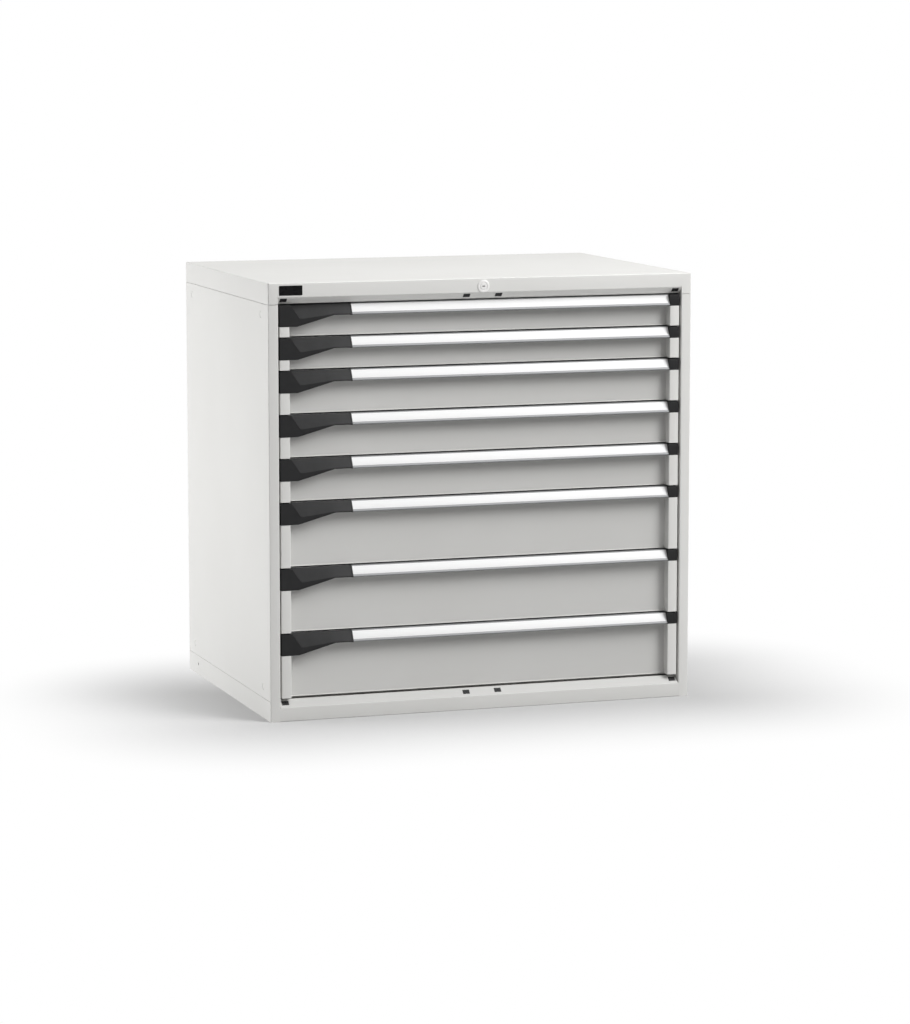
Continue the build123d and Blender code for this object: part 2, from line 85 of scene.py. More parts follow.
def roundedPath(points, radii, steps=5, closed=False):
    # A line whose corners are arcs. The arc starts and ends radius * tan(turn / 2) from the corner. Its spoke
    # turns evenly about the arc's centre: (first * sin((1 - t) turn) + last * sin(t turn)) / sin(turn).
    p = np.asarray(points, float)
    here = p if closed else p[1:-1]
    toBefore = (np.roll(p, 1, 0) if closed else p[:-2]) - here
    toAfter = (np.roll(p, -1, 0) if closed else p[2:]) - here
    toBefore /= np.linalg.norm(toBefore, axis=1, keepdims=True)
    toAfter /= np.linalg.norm(toAfter, axis=1, keepdims=True)
    radius = np.broadcast_to(np.asarray(radii, float), len(here))[:, None]
    turn = np.pi - np.arccos(np.clip((toBefore * toAfter).sum(1, keepdims=True), -1, 1))
    inwards = toBefore + toAfter
    inwards /= np.maximum(np.linalg.norm(inwards, axis=1, keepdims=True), 1e-9)
    centre = here + inwards * radius / np.cos(turn / 2)
    reach = radius * np.tan(turn / 2)
    first = (here + toBefore * reach - centre)[:, None]
    last = (here + toAfter * reach - centre)[:, None]
    angle = np.maximum(turn, 1e-4)[:, None]
    t = np.linspace(0, 1, steps + 1)[None, :, None]
    arcs = centre[:, None] + (first * np.sin((1 - t) * angle) + last * np.sin(t * angle)) / np.sin(angle)
    path = arcs.reshape(-1, 2)
    if closed:
        return dropRepeats(path)
    return dropRepeats(np.concatenate([p[:1], path, p[-1:]]))


def offsetPath(path, distance):
    # each point moves to the left by distance / cos(half the turn), square to the mean of its two runs
    run = np.diff(path, axis=0)
    run /= np.linalg.norm(run, axis=1, keepdims=True)
    left = np.stack([-run[:, 1], run[:, 0]], 1)
    mean = np.concatenate([left[:1], left]) + np.concatenate([left, left[-1:]])
    return path + 2 * distance * mean / (mean**2).sum(1, keepdims=True)


def between(values):
    # the middle of each step
    return (values[1:] + values[:-1]) / 2


def stations(*values):
    # sorted places along an edge, each once
    flat = np.concatenate([np.atleast_1d(np.asarray(v, float)) for v in values])
    return np.unique(np.round(flat, 4))


def swept(path, places, axis):
    # a line in the plane square to the axis, carried to each of the places along it
    grid = np.empty((len(path), len(places), 3))
    grid[..., [i for i in range(3) if i != axis]] = np.asarray(path)[:, None]
    grid[..., axis] = places
    return grid


def cellMiddles(path, places):
    # the middles of a carried grid's cells: both coordinates of the path, and the place along it
    return between(path[:, 0])[:, None], between(path[:, 1])[:, None], between(places)[None]


def mirrored(shape):
    # the same shape on the other side: x becomes -x
    points, faces = shape
    return points * (-1, 1, 1), faces


# Shapes: each is (points, faces)
def gridFaces(rows, cols, wrap=False):
    # cell (i, j) has the corners (i, j), (i + 1, j), (i + 1, j + 1), (i, j + 1)
    across = np.arange(cols if wrap else cols - 1)
    first = np.arange(rows - 1)[:, None] * cols + across
    beside = np.arange(rows - 1)[:, None] * cols + (across + 1) % cols
    return np.stack([first, first + cols, beside + cols, beside], -1)


def sheetShell(outer, inner, keep=None, wrap=False, openSides=()):
    # Two grids face each other through the sheet. A kept cell gives a face outside and one inside, and each
    # of its edges beside no kept cell gets a wall through the sheet, but for the sides named in openSides.
    rows, cols = outer.shape[:2]
    cells = gridFaces(rows, cols, wrap)
    keep = np.ones(cells.shape[:2], bool) if keep is None else keep
    away = rows * cols
    faces = [cells[keep], cells[keep][:, ::-1] + away]
    around = np.pad(keep, 1)
    if wrap:
        around[1:-1, 0], around[1:-1, -1] = keep[:, -1], keep[:, 0]
    for side, flag in (("lowCol", (slice(1, -1), 0)), ("highCol", (slice(1, -1), -1)),
                       ("lowRow", (0, slice(1, -1))), ("highRow", (-1, slice(1, -1)))):
        if side in openSides:
            around[flag] = True
    beside = [around[1:-1, :-2], around[2:, 1:-1], around[1:-1, 2:], around[:-2, 1:-1]]
    for edge in range(4):
        rim = keep & ~beside[edge]
        p, q = cells[..., edge][rim], cells[..., (edge + 1) % 4][rim]
        faces.append(np.stack([q, p, p + away, q + away], -1))
    return np.concatenate([outer.reshape(-1, 3), inner.reshape(-1, 3)]), [np.concatenate(faces)]


def foldedSheet(path, places, axis, thickness, keep):
    # the path and its offset by the thickness, both carried along the axis, with the sheet between them
    return sheetShell(swept(path, places, axis), swept(offsetPath(path, thickness), places, axis), keep)


def tubeFaces(rings, count, turn=1):
    # faces from ring to ring of points, and a flat end on the first and the last ring; turn -1 reverses both
    sides = gridFaces(rings, count, wrap=True).reshape(-1, 4)
    loops = np.arange(rings * count).reshape(rings, count)
    return [sides, loops[:1, ::turn], loops[-1:, ::-turn]]


def carried(outline, places, axis=0):
    # a closed outline carried along an axis, with a flat end at both places
    points = swept(outline, places, axis).transpose(1, 0, 2)
    return points.reshape(-1, 3), tubeFaces(2, len(outline))


def stacked(layers, turn=1):
    # rings (u, v), each laid at its own height
    points = [np.column_stack([ring, np.full(len(ring), height)]) for ring, height in layers]
    return np.concatenate(points), tubeFaces(len(layers), len(layers[0][0]), turn)


def slab(x0, x1, y0, y1, z0, z1, radius=0.3):
    # a flat sheet whose upright corners are rounded
    corners = [(x0, y0), (x1, y0), (x1, y1), (x0, y1)]
    return carried(roundedPath(corners, radius, 2, closed=True), (z0, z1), axis=2)


def roundedLoop(halfLength, halfHeight, radius, steps=6):
    # Centres and spokes of a rounded rectangle: a point of it is centre + spoke * (radius - inset).
    angle = np.radians(np.array([180.0, 270.0, 0.0, 90.0])[:, None] + np.linspace(0, 90, steps + 1)).ravel()
    corner = np.repeat([(-1, -1), (1, -1), (1, 1), (-1, 1)], steps + 1, axis=0)
    centre = corner * (halfLength - radius, halfHeight - radius)
    return centre, np.stack([np.cos(angle), np.sin(angle)], 1)


def pad(loop, radius, profile):
    # A raised pad: its height follows the inset from the loop's edge, as the profile of (inset, height) says.
    centre, spoke = loop
    inset, height = np.asarray(profile, float).T
    grid = np.empty((len(centre), len(inset), 3))
    grid[..., :2] = centre[:, None] + spoke[:, None] * (radius - inset)[:, None]
    grid[..., 2] = height
    return grid.transpose(1, 0, 2).reshape(-1, 3), tubeFaces(len(inset), len(centre), turn=-1)


def placed(shape, origin, alongU, alongV):
    # (u, v, w) goes to origin + u * alongU + v * alongV + w * (alongU x alongV)
    points, faces = shape
    axes = np.array([alongU, alongV, np.cross(alongU, alongV)], float)
    return np.asarray(origin, float) + points @ axes, faces


def lathed(profile, segments=48):
    # (radius, height) turned about the w axis: (radius * cos a, radius * sin a, height)
    radius, height = np.asarray(profile, float).T
    a = np.linspace(0, 2 * np.pi, segments, endpoint=False)
    grid = np.stack([radius[:, None] * np.cos(a), radius[:, None] * np.sin(a), height[:, None] + 0 * a], -1)
    faces = gridFaces(len(radius), segments, wrap=True).reshape(-1, 4)
    return grid.reshape(-1, 3), [faces]


def holedSquare(half, radius, depth, segments=48):
    # A square plate with a round hole: spokes run from the circle to the square, which is the circle's
    # direction stretched and held within plus and minus half.
    a = np.linspace(0, 2 * np.pi, segments, endpoint=False)
    spoke = np.stack([np.cos(a), np.sin(a)], 1)
    square = np.clip(spoke * half * math.sqrt(2), -half, half)
    outer = np.zeros((2, segments, 3))
    outer[0, :, :2], outer[1, :, :2] = spoke * radius, square
    return sheetShell(outer, outer - (0, 0, depth), wrap=True)


def makePiece(name, shapes, material, body, nodes=(), smooth=32.0, bevel=None):
    # Cleans each closed shape by itself, turns its faces outwards and joins all of them into one object
    whole = bmesh.new()
    for points, faceSets in shapes:
        faces = [face for faceSet in faceSets for face in np.asarray(faceSet).tolist()]
        rough = bpy.data.meshes.new(name)
        rough.from_pydata((points * mm).tolist(), [], faces)
        part = bmesh.new()
        part.from_mesh(rough)
        bmesh.ops.remove_doubles(part, verts=part.verts, dist=2e-6)
        loose = [v for v in part.verts if not v.link_faces]
        bmesh.ops.delete(part, geom=loose, context="VERTS")
        bmesh.ops.recalc_face_normals(part, faces=part.faces)
        part.to_mesh(rough)
        part.free()
        whole.from_mesh(rough)
        bpy.data.meshes.remove(rough)
    mesh = bpy.data.meshes.new(name)
    whole.to_mesh(mesh)
    whole.free()
    mesh.materials.append(material)
    mesh.shade_smooth()
    mesh.set_sharp_from_angle(angle=math.radians(smooth))
    piece = bpy.data.objects.new(name, mesh)
    bpy.context.scene.collection.objects.link(piece)
    if bevel:
        edge = piece.modifiers.new("roundedEdges", "BEVEL")
        edge.width, edge.segments, edge.limit_method = bevel * mm, 2, "ANGLE"
        edge.angle_limit = math.radians(smooth)
        edge.harden_normals = False
    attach(piece, body)
    if nodes:
        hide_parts(*nodes)
    return piece


def retone(piece, material, chosen):
    # the faces that chosen(normals, middles in millimetres) picks get a second material
    mesh = piece.data
    mesh.materials.append(material)
    normal, middle = np.empty((2, len(mesh.polygons), 3))
    mesh.polygons.foreach_get("normal", normal.ravel())
    mesh.polygons.foreach_get("center", middle.ravel())
    mesh.polygons.foreach_set("material_index", chosen(normal, middle / mm).astype(np.int32))


# Materials: all of them read Object coordinates, in metres
def newMaterial(name):
    # a material with its node tree and its Principled node, whose sockets the caller sets
    material = bpy.data.materials.new(name)
    material.use_nodes = True
    return material, material.node_tree, material.node_tree.nodes["Principled BSDF"]


def feed(tree, socket, value):
    # a value from another node is linked, and a constant is set on the socket
    if isinstance(value, bpy.types.NodeSocket):
        tree.links.new(value, socket)
    else:
        socket.default_value = value


def addNode(tree, kind, inputs=None, **settings):
    # makes a node, sets it up and gives its outputs
    made = tree.nodes.new("ShaderNode" + kind)
    for key, value in settings.items():
        setattr(made, key, value)
    for key, value in (inputs or {}).items():
        feed(tree, made.inputs[key], value)
    return made.outputs


def objectNoise(tree, scale, detail, stretch=(1, 1, 1)):
    # noise of a size set in features per metre, drawn out along an axis by stretch
    place = addNode(tree, "TexCoord")["Object"]
    drawn = addNode(tree, "Mapping", {"Vector": place, "Scale": stretch})["Vector"]
    return addNode(tree, "TexNoise", {"Vector": drawn, "Scale": scale, "Detail": detail})["Fac"]


def remap(tree, value, low, high):
    # the middle of a noise's range, 0.3 to 0.7, drawn out to low..high
    limits = {"From Min": 0.3, "From Max": 0.7, "To Min": low, "To Max": high}
    return addNode(tree, "MapRange", {"Value": value, **limits})["Result"]


def shade(tree, value, dark, light):
    # dark * (1 - value) + light * value
    return addNode(tree, "Mix", {0: value, 6: (*dark, 1), 7: (*light, 1)}, data_type="RGBA")[2]


def mixShaders(tree, share, first, second):
    # first * (1 - share) + second * share
    return addNode(tree, "MixShader", {0: share, 1: first, 2: second})[0]


def anyOf(tree, *values):
    # the largest of several values
    largest = values[0]
    for value in values[1:]:
        largest = addNode(tree, "Math", {0: largest, 1: value}, operation="MAXIMUM")[0]
    return largest


paintTones = {"dark": (0.685, 0.681, 0.662), "light": (0.715, 0.712, 0.694)}
# Each noise is (features per metre, detail, stretch). The drift goes from the dark to the light colour, and
# the grain lifts the surface by the relief. The roughness follows the gloss, or else the grain.
finishes = {
    # powder coat: a slow drift of tone and a fine orange peel
    "powderCoat": {
        **paintTones,
        "drift": (2.3, 3.0),
        "grain": (620.0, 2.0),
        "relief": 0.00003,
        "roughness": (0.44, 0.56),
        "sockets": {"Specular IOR Level": 0.38},
    },
    # moulded plastic with a spark-eroded grain
    "blackGrainedPlastic": {
        "dark": (0.011, 0.011, 0.0115),
        "light": (0.016, 0.016, 0.0165),
        "drift": (40.0, 3.0),
        "grain": (1500.0, 3.0),
        "relief": 0.00004,
        "roughness": (0.42, 0.6),
        "sockets": {"Specular IOR Level": 0.24},
    },
    # white card under a clear cover: faint fibre below, gloss above
    "coveredWhiteCard": {
        "dark": (0.765, 0.765, 0.765),
        "light": (0.785, 0.785, 0.785),
        "drift": (900.0, 4.0, (0.35, 1, 1)),
        "sockets": {"Roughness": 0.5, "Coat Weight": 0.12, "Coat Roughness": 0.4},
    },
    # satin anodised extrusion: fine die lines along X
    "anodisedAluminium": {
        "dark": (0.27, 0.275, 0.28),
        "light": (0.33, 0.335, 0.34),
        "drift": (1.0, 3.0, (4.0, 2600.0, 2600.0)),
        "grain": (1.0, 3.0, (4.0, 2600.0, 2600.0)),
        "relief": 0.00002,
        "roughness": (0.62, 0.76),
        "sockets": {"Metallic": 0.9},
    },
    # zinc-plated steel: cloudy patches of tone with a soft gloss
    "zincPlatedSteel": {
        "dark": (0.50, 0.51, 0.53),
        "light": (0.64, 0.65, 0.66),
        "drift": (70.0, 4.0),
        "grain": (1200.0, 2.0),
        "gloss": (260.0, 3.0),
        "relief": 0.00002,
        "roughness": (0.28, 0.46),
        "sockets": {"Metallic": 0.95},
    },
    # nickel plate: short streaks stand for its fine turned rings
    "nickelPlate": {
        "dark": (0.82, 0.81, 0.80),
        "light": (0.90, 0.89, 0.88),
        "drift": (300.0, 2.0),
        "grain": (2200.0, 2.0, (1, 0.05, 1)),
        "relief": 0.00001,
        "roughness": (0.38, 0.5),
        "sockets": {"Metallic": 0.65},
    },
    # smooth black plate, a little uneven in its gloss
    "glossBlackPlate": {
        "dark": (0.004, 0.004, 0.0045),
        "light": (0.007, 0.007, 0.0075),
        "drift": (55.0, 3.0, (1, 1, 2.5)),
        "gloss": (55.0, 3.0, (1, 1, 2.5)),
        "roughness": (0.22, 0.34),
        "sockets": {"Specular IOR Level": 0.12},
    },
    # plastic of the round caps, in the paint's colour
    "paleCapPlastic": {**paintTones, "drift": (400.0, 2.0), "sockets": {"Roughness": 0.4}},
}


def makeMaterial(name, finish=None, tint=1.0):
    # colour = tint * (dark to light by the drift), roughness = low to high by the gloss, bump = grain * relief
    look = finishes[finish or name]
    material, tree, shader = newMaterial(name)
    for socket, value in look["sockets"].items():
        shader.inputs[socket].default_value = value
    dark, light = (tuple(tint * c for c in look[key]) for key in ("dark", "light"))
    drift = remap(tree, objectNoise(tree, *look["drift"]), 0.0, 1.0)
    feed(tree, shader.inputs["Base Color"], shade(tree, drift, dark, light))
    if "roughness" in look:
        gloss = objectNoise(tree, *look.get("gloss", look.get("grain")))
        feed(tree, shader.inputs["Roughness"], remap(tree, gloss, *look["roughness"]))
    if "relief" in look:
        height = objectNoise(tree, *look["grain"])
        bump = addNode(tree, "Bump", {"Height": height, "Strength": 1.0, "Distance": look["relief"]})
        feed(tree, shader.inputs["Normal"], bump["Normal"])
    return material


# Shares of the body's tone, chosen for the likeness: painted shade and light, which lamps alone don't give.
paintedShadeAndLight = {
    "slopeShade": 0.78,  # painted shade: a darker copy of the paint on the plinth's leaning face
    "front": 0.86,  # painted shade: a darker copy of the paint on the recessed fronts under the grip bars
    "returnLight": 1.16,  # painted light: a lighter copy of the paint on the cover's return
}
greyPaint = makeMaterial("greyPowderCoat", "powderCoat")
slopeShadePaint, frontShadePaint, returnLightPaint = [makeMaterial(shadeName + "PowderCoat", "powderCoat", share)
                                      for shadeName, share in paintedShadeAndLight.items()]
blackPlastic, whiteStrip = makeMaterial("blackGrainedPlastic"), makeMaterial("coveredWhiteCard")
aluminium, zincSteel = makeMaterial("anodisedAluminium"), makeMaterial("zincPlatedSteel")
nickel, plateBlack = makeMaterial("nickelPlate"), makeMaterial("glossBlackPlate")
capPlastic = makeMaterial("paleCapPlastic")
print("materials made")

# The rail of the plinth and the return of the cover both lean at 45 degrees and carry four slots
slope = {
    "coverRun": 13.0,  # the cover's return runs this far back, and down
    "coverLift": 1.0,  # its lower edge above the seam
    "coverLip": 1.5,  # upright edge below the return
    "railRun": 18.0,  # the plinth's return runs this far back, and up
    "slotLength": 15.5,
    "slotWidth": 10.5,
    "slotEnd": 13.5,  # outer slots from the posts' inner edges
    "slotMiddle": 38.6,  # inner slots from the middle
    "slit": 0.7,  # relief slit beside the cover's return
    "endPlay": 0.8,  # shadow gap beside the plinth's return
    "channelDepth": 4.0,  # channel behind the plinth's return, under the lowest drawer's front
    "channelEnd": 45.0,  # back of the channel, behind the front plane
    "hem": 5.0,
    "leaning": 0.6,  # both parts of a leaning face's normal lie past this
}
railBendZ = deckZ - slope["railRun"]
foldReach = cabinet["bend"] * math.tan(math.radians(22.5))  # how far a 45 degree fold runs from its corner
postCutZ = railBendZ - foldReach
slotX = np.array([slope["slotMiddle"], postX - slope["slotEnd"]])
slotX = np.concatenate([-slotX[::-1], slotX])
slotSides = np.concatenate([slotX - slope["slotLength"] / 2, slotX + slope["slotLength"] / 2])
coverBendZ = seamZ + slope["coverLift"] + slope["coverLip"] + slope["coverRun"]
coverMiddle = (frontY + slope["coverRun"] / 2, coverBendZ - slope["coverRun"] / 2)
railMiddle = (frontY + slope["railRun"] / 2, deckZ - slope["railRun"] / 2)
slotRise = slope["slotWidth"] / 2 / math.sqrt(2)


def inSlot(x):
    # true where x lies within the length of a slot
    return (np.abs(x[:, None] - slotX) < slope["slotLength"] / 2).any(1)


# Side panels
side = {
    "capRadius": 7.0,  # round caps in the sides
    "capPlay": 0.35,
    "capInset": 60.0,  # from the front and back edges
    "capLow": 73.0,
    "capHigh": 926.0,
    "capDepth": 4.0,
    "capEdge": [(0, 0.75), (0.5, 0.25), (2.5, 0.05)],  # in from the cap's rim, and below its top
    "flangeWidth": 20.0,
    "flangeStart": 72.5,  # behind the front plane
    "flangeDrop": 0.7,  # below the cover's seam
    "tabDrop": 2.0,  # foot of the tab behind the fascia, below the cover's seam
    "tabPlay": 0.2,
}
capPlaces = [(y, z) for y in (frontY + side["capInset"], backY - side["capInset"])
             for z in (side["capLow"], side["capHigh"])]


def roundHole(y, z, radius):
    # the outside of the left panel around a round hole
    plate = holedSquare(cabinet["patch"], radius, cabinet["sheet"])
    return placed(plate, (-halfWidth, y, z), (0, -1, 0), (0, 0, 1))


def sidePanel():
    # Plan line from the post's return round the front edge and along the side to the rear fold, carried up.
    bend, sheet, half = cabinet["bend"], cabinet["sheet"], cabinet["patch"]
    footX = -postX - cabinet["footCut"]
    depths, heights = (np.unique(places) for places in np.transpose(capPlaces))
    line = [(-postX, frontY + cabinet["postReturn"]), (-postX, frontY), (footX, frontY), (-halfWidth, frontY)]
    line += [(-halfWidth, y) for depth in depths for y in (depth - half, depth + half)]
    line += [(-halfWidth, backY), (-halfWidth + cabinet["rearFold"], backY)]
    path = roundedPath(line, [bend, 0, bend, 0, 0, 0, 0, bend])
    levels = stations(0, postCutZ, skirtTop, heights - half, heights + half, seamZ - cabinet["seamGap"])
    x, y, z = cellMiddles(path, levels)
    post = (y < frontY + bend) | ((x > -halfWidth + bend) & (y < 0))
    keep = (z > skirtTop) | (post & ((z > postCutZ) | (x < footX)))
    for capY, capZ in capPlaces:
        keep &= ~((np.abs(y - capY) < half) & (np.abs(z - capZ) < half) & (x < -halfWidth + near))
    shapes = [foldedSheet(path, levels, 2, -sheet, keep)]
    shapes += [roundHole(*place, side["capRadius"] + side["capPlay"]) for place in capPlaces]
    flangeTop = seamZ - side["flangeDrop"]
    flange = slab(-halfWidth + sheet, -halfWidth + side["flangeWidth"], frontY + side["flangeStart"],
                  backY - sheet, flangeTop - sheet, flangeTop)
    tab = slab(-postX - sheet, -postX - air, frontY + sheet + side["tabPlay"], frontY + cabinet["postReturn"],
               seamZ - side["tabDrop"], coverBendZ + sheet)
    return shapes + [flange, tab]


def sideCaps():
    # a shallow dome in each of the left side's four holes
    radius, foot = side["capRadius"], -side["capDepth"]
    rim = [(radius - inset, -drop) for inset, drop in side["capEdge"]]
    dome = [(tip, foot), (radius, foot)] + rim + [(tip, 0)]
    return [placed(lathed(dome, 40), (-halfWidth, *place), (0, -1, 0), (0, 0, 1)) for place in capPlaces]


leftShapes = sidePanel()
makePiece("leftSide", leftShapes, greyPaint, "cabinet", ["left_side_panel"])
makePiece("rightSide", [mirrored(s) for s in leftShapes], greyPaint, "cabinet",
          ["right_side_panel"])
caps = sideCaps()
makePiece("sideCaps", caps + [mirrored(s) for s in caps], capPlastic, "cabinet")
print("side panels made")

# Top cover
cover = {
    "cornerRadius": 2.6,
    "edgeRadius": 2.2,
    "splitZ": 2.5,  # the front's own skirt ends this far above the return's fold
    "guideX": (150.0, 400.0),  # straps that carry the lock bar
    "guideWidth": 15.0,
    "guideLip": 5.0,
    "guidePlay": 0.3,
    "guideDrop": 0.1,  # below the cover's sheet
    "barLift": 15.8,  # the lock bar's lower edge above the seam
}


def coverShell():
    # The outline of the top, a rounded rectangle, carried over an edge profile of (inset, z).
    radius, edge, sheet = cover["cornerRadius"], cover["edgeRadius"], cabinet["sheet"]
    centre, spoke = roundedLoop(halfWidth, backY, radius, 5)
    front = len(centre) // 4  # the front run lies between the first two corners
    leafX = postX + slope["slit"]
    centre = np.insert(centre, front, [(-leafX, frontY + radius), (leafX, frontY + radius)], axis=0)
    spoke = np.insert(spoke, front, [(0, -1), (0, -1)], axis=0)
    centre, spoke = np.concatenate([centre, centre[:1]]), np.concatenate([spoke, spoke[:1]])
    splitZ = coverBendZ + cover["splitZ"]
    profile = roundedPath([(0, seamZ), (0, splitZ), (0, topZ), (radius, topZ)], [0, edge], 5)

    def surface(line):
        # each corner's centre + spoke * (radius - inset), at the profile's heights
        grid = np.empty((len(centre), len(line), 3))
        grid[..., :2] = centre[:, None] + spoke[:, None] * np.maximum(radius - line[:, 0], 0)[:, None]
        grid[..., 2] = line[:, 1]
        return grid

    outer, inner = surface(profile), surface(offsetPath(profile, -sheet))
    x, y = between(outer[:, 0, 0])[:, None], between(outer[:, 0, 1])[:, None]
    inset, z = between(profile[:, 0])[None], between(profile[:, 1])[None]
    keep = ~((y < frontY + near) & (np.abs(x) < leafX) & (z < splitZ))
    corner = (np.abs(x) > halfWidth - radius) & (np.abs(y) > backY - radius)
    keep &= ~(corner & (inset > 0) & (z < topZ - air))
    cols = outer.shape[1]
    topLoop = np.arange(len(centre) - 1) * cols + cols - 1
    points, faces = sheetShell(outer, inner, keep, openSides=("highCol", "lowRow", "highRow"))
    return points, faces + [topLoop[None], topLoop[None, ::-1] + outer.shape[0] * cols]


def coverReturn():
    # Section (y, z) of the fascia's lower part, carried along x, with four slot windows in its slope.
    run, (y, z) = slope["coverRun"], coverMiddle
    foot = (frontY + run, coverBendZ - run)
    low = foot[1] - slope["coverLip"]
    points = [(frontY, coverBendZ + cover["splitZ"]), (frontY, coverBendZ), (y - slotRise, z + slotRise),
              (y + slotRise, z - slotRise), foot, (foot[0], low), (foot[0] + slope["hem"], low)]
    path = roundedPath(points, [cabinet["bend"], 0, 0, 1.0, 0.6])
    places = stations(-postX, postX, slotSides)
    keep = ~((np.abs(between(path[:, 1]) - z) < slotRise)[:, None] & inSlot(between(places))[None])
    return foldedSheet(path, places, 0, cabinet["sheet"], keep)


def lockGuides():
    # Section (y, z) of a strap, carried along x. It hangs under the cover and hooks round the lock bar.
    (_, front, _), (_, back, _) = nodeBox("lock_bar")
    sheet, play = cabinet["sheet"], cover["guidePlay"]
    front, back, floorZ = front - play, back + play, seamZ + cover["barLift"] - play
    lipZ, hangZ = floorZ + cover["guideLip"], topZ - sheet - cover["guideDrop"]
    section = [(front - sheet, lipZ), (front - sheet, floorZ - sheet), (back + sheet, floorZ - sheet),
               (back + sheet, hangZ), (back, hangZ), (back, floorZ), (front, floorZ), (front, lipZ)]
    return [carried(section, (x, x + cover["guideWidth"])) for x in cover["guideX"]]


coverShapes = [coverShell(), coverReturn()] + lockGuides()
coverPiece = makePiece("topCover", coverShapes, greyPaint, "cabinet", ["top_cover"])
# The cover's return takes the lighter copy of the paint: painted light.
retone(coverPiece, returnLightPaint, lambda normal, middle: (normal[:, 1:] < -slope["leaning"]).all(1))
print("cover made")

# Plinth
plinth = {
    "skirtStart": 2.4,  # side skirts start this far behind the front plane
    "anchorFromBack": 85.0,
    "anchorHeight": 26.0,
    "anchorRadius": 3.5,
    "flange": 20.0,
    "strip": 20.0,  # height of the strips that join the deck to the skirts
}


def plinthRail():
    # Section (y, z) of the front rail: floor flange, upright face and the sloped return with its slots.
    y, z = railMiddle
    top = (frontY + slope["railRun"], deckZ)
    channelY, channelZ = frontY + slope["channelEnd"], deckZ - slope["channelDepth"]
    points = [(frontY + plinth["flange"], 0), (frontY, 0), (frontY, railBendZ), (y - slotRise, z - slotRise),
              (y + slotRise, z + slotRise), top, (top[0] + 1.0, channelZ), (channelY, channelZ),
              (channelY, deckZ)]
    path = roundedPath(points, [1.8, cabinet["bend"], 0, 0, 1.0, 0.5, 0.5])
    sideX, slopeX = postX + cabinet["footCut"], postX - slope["endPlay"]
    places = stations(-sideX, -slopeX, slopeX, sideX, slotSides)
    my, mz, mx = cellMiddles(path, places)
    window = (np.abs(my - y) < slotRise) & (np.abs(mz - z) < slotRise) & inSlot(mx[0])
    keep = ((mz < postCutZ) | (np.abs(mx) < slopeX)) & ~window
    return foldedSheet(path, places, 0, -cabinet["sheet"], keep)


def plinthSkirts():
    # Plan line round the sides and back, carried up to the seam, with a square left out for each anchor hole.
    half, startY = cabinet["patch"], frontY + plinth["skirtStart"]
    holeY, holeZ = backY - plinth["anchorFromBack"], plinth["anchorHeight"]
    left = [(-halfWidth, y) for y in (startY, holeY - half, holeY + half, backY)]
    line = left + [(-x, y) for x, y in left[::-1]]
    path = roundedPath(line, [0, 0, cabinet["bend"], cabinet["bend"], 0, 0])
    levels = stations(0, holeZ - half, holeZ + half, skirtTop - cabinet["seamGap"])
    x, y, z = cellMiddles(path, levels)
    atHole = (np.abs(y - holeY) < half) & (np.abs(z - holeZ) < half)
    keep = ~((np.abs(np.abs(x) - halfWidth) < near) & atHole)
    hole = roundHole(holeY, holeZ, plinth["anchorRadius"])
    return [foldedSheet(path, levels, 2, -cabinet["sheet"], keep), hole, mirrored(hole)]


def plinthInside():
    # deck, the strips that join it to the skirts, and the flanges on the floor
    sheet, inner, flange = cabinet["sheet"], halfWidth - cabinet["sheet"], plinth["flange"]
    deckY, rearY, stripZ = frontY + slope["channelEnd"], backY - sheet, deckZ - plinth["strip"]
    deck = slab(-inner, inner, deckY, rearY, deckZ - sheet, deckZ)
    left = [slab(-inner, -inner + sheet, deckY, rearY - sheet, stripZ, deckZ - sheet),
            slab(-inner, -halfWidth + flange, deckY, rearY, 0, sheet)]
    back = [slab(-inner, inner, rearY - sheet, rearY, stripZ, deckZ - sheet),
            slab(-inner, inner, backY - flange, rearY, 0, sheet)]
    return [deck] + left + [mirrored(s) for s in left] + back


plinthShapes = [plinthRail()] + plinthSkirts() + plinthInside()
plinthPiece = makePiece("plinth", plinthShapes, greyPaint, "cabinet", ["base"])
# The plinth's leaning face takes the darker copy of the paint: painted shade.
retone(plinthPiece, slopeShadePaint, lambda normal, middle: (normal[:, 1:] * (-1, 1) > slope["leaning"]).all(1))
print("plinth made")

# Plugs in the slots: two pads with a slanted groove between them
plug = {
    "play": 0.2,
    "corner": 0.5,
    "brim": 0.5,  # the heads reach this far over the slot's edge
    "depth": 3.4,  # from the slope's face inwards
    "chamfer": 0.3,
    "rise": 0.6,
    "headCorner": 0.7,
    "crown": 0.96,  # the head's top as a share of its foot
    "groove": 0.9,
    "lean": 1.6,  # how far the groove leans from end to end
    "sunk": 0.1,  # the heads' feet below the slope's face
}


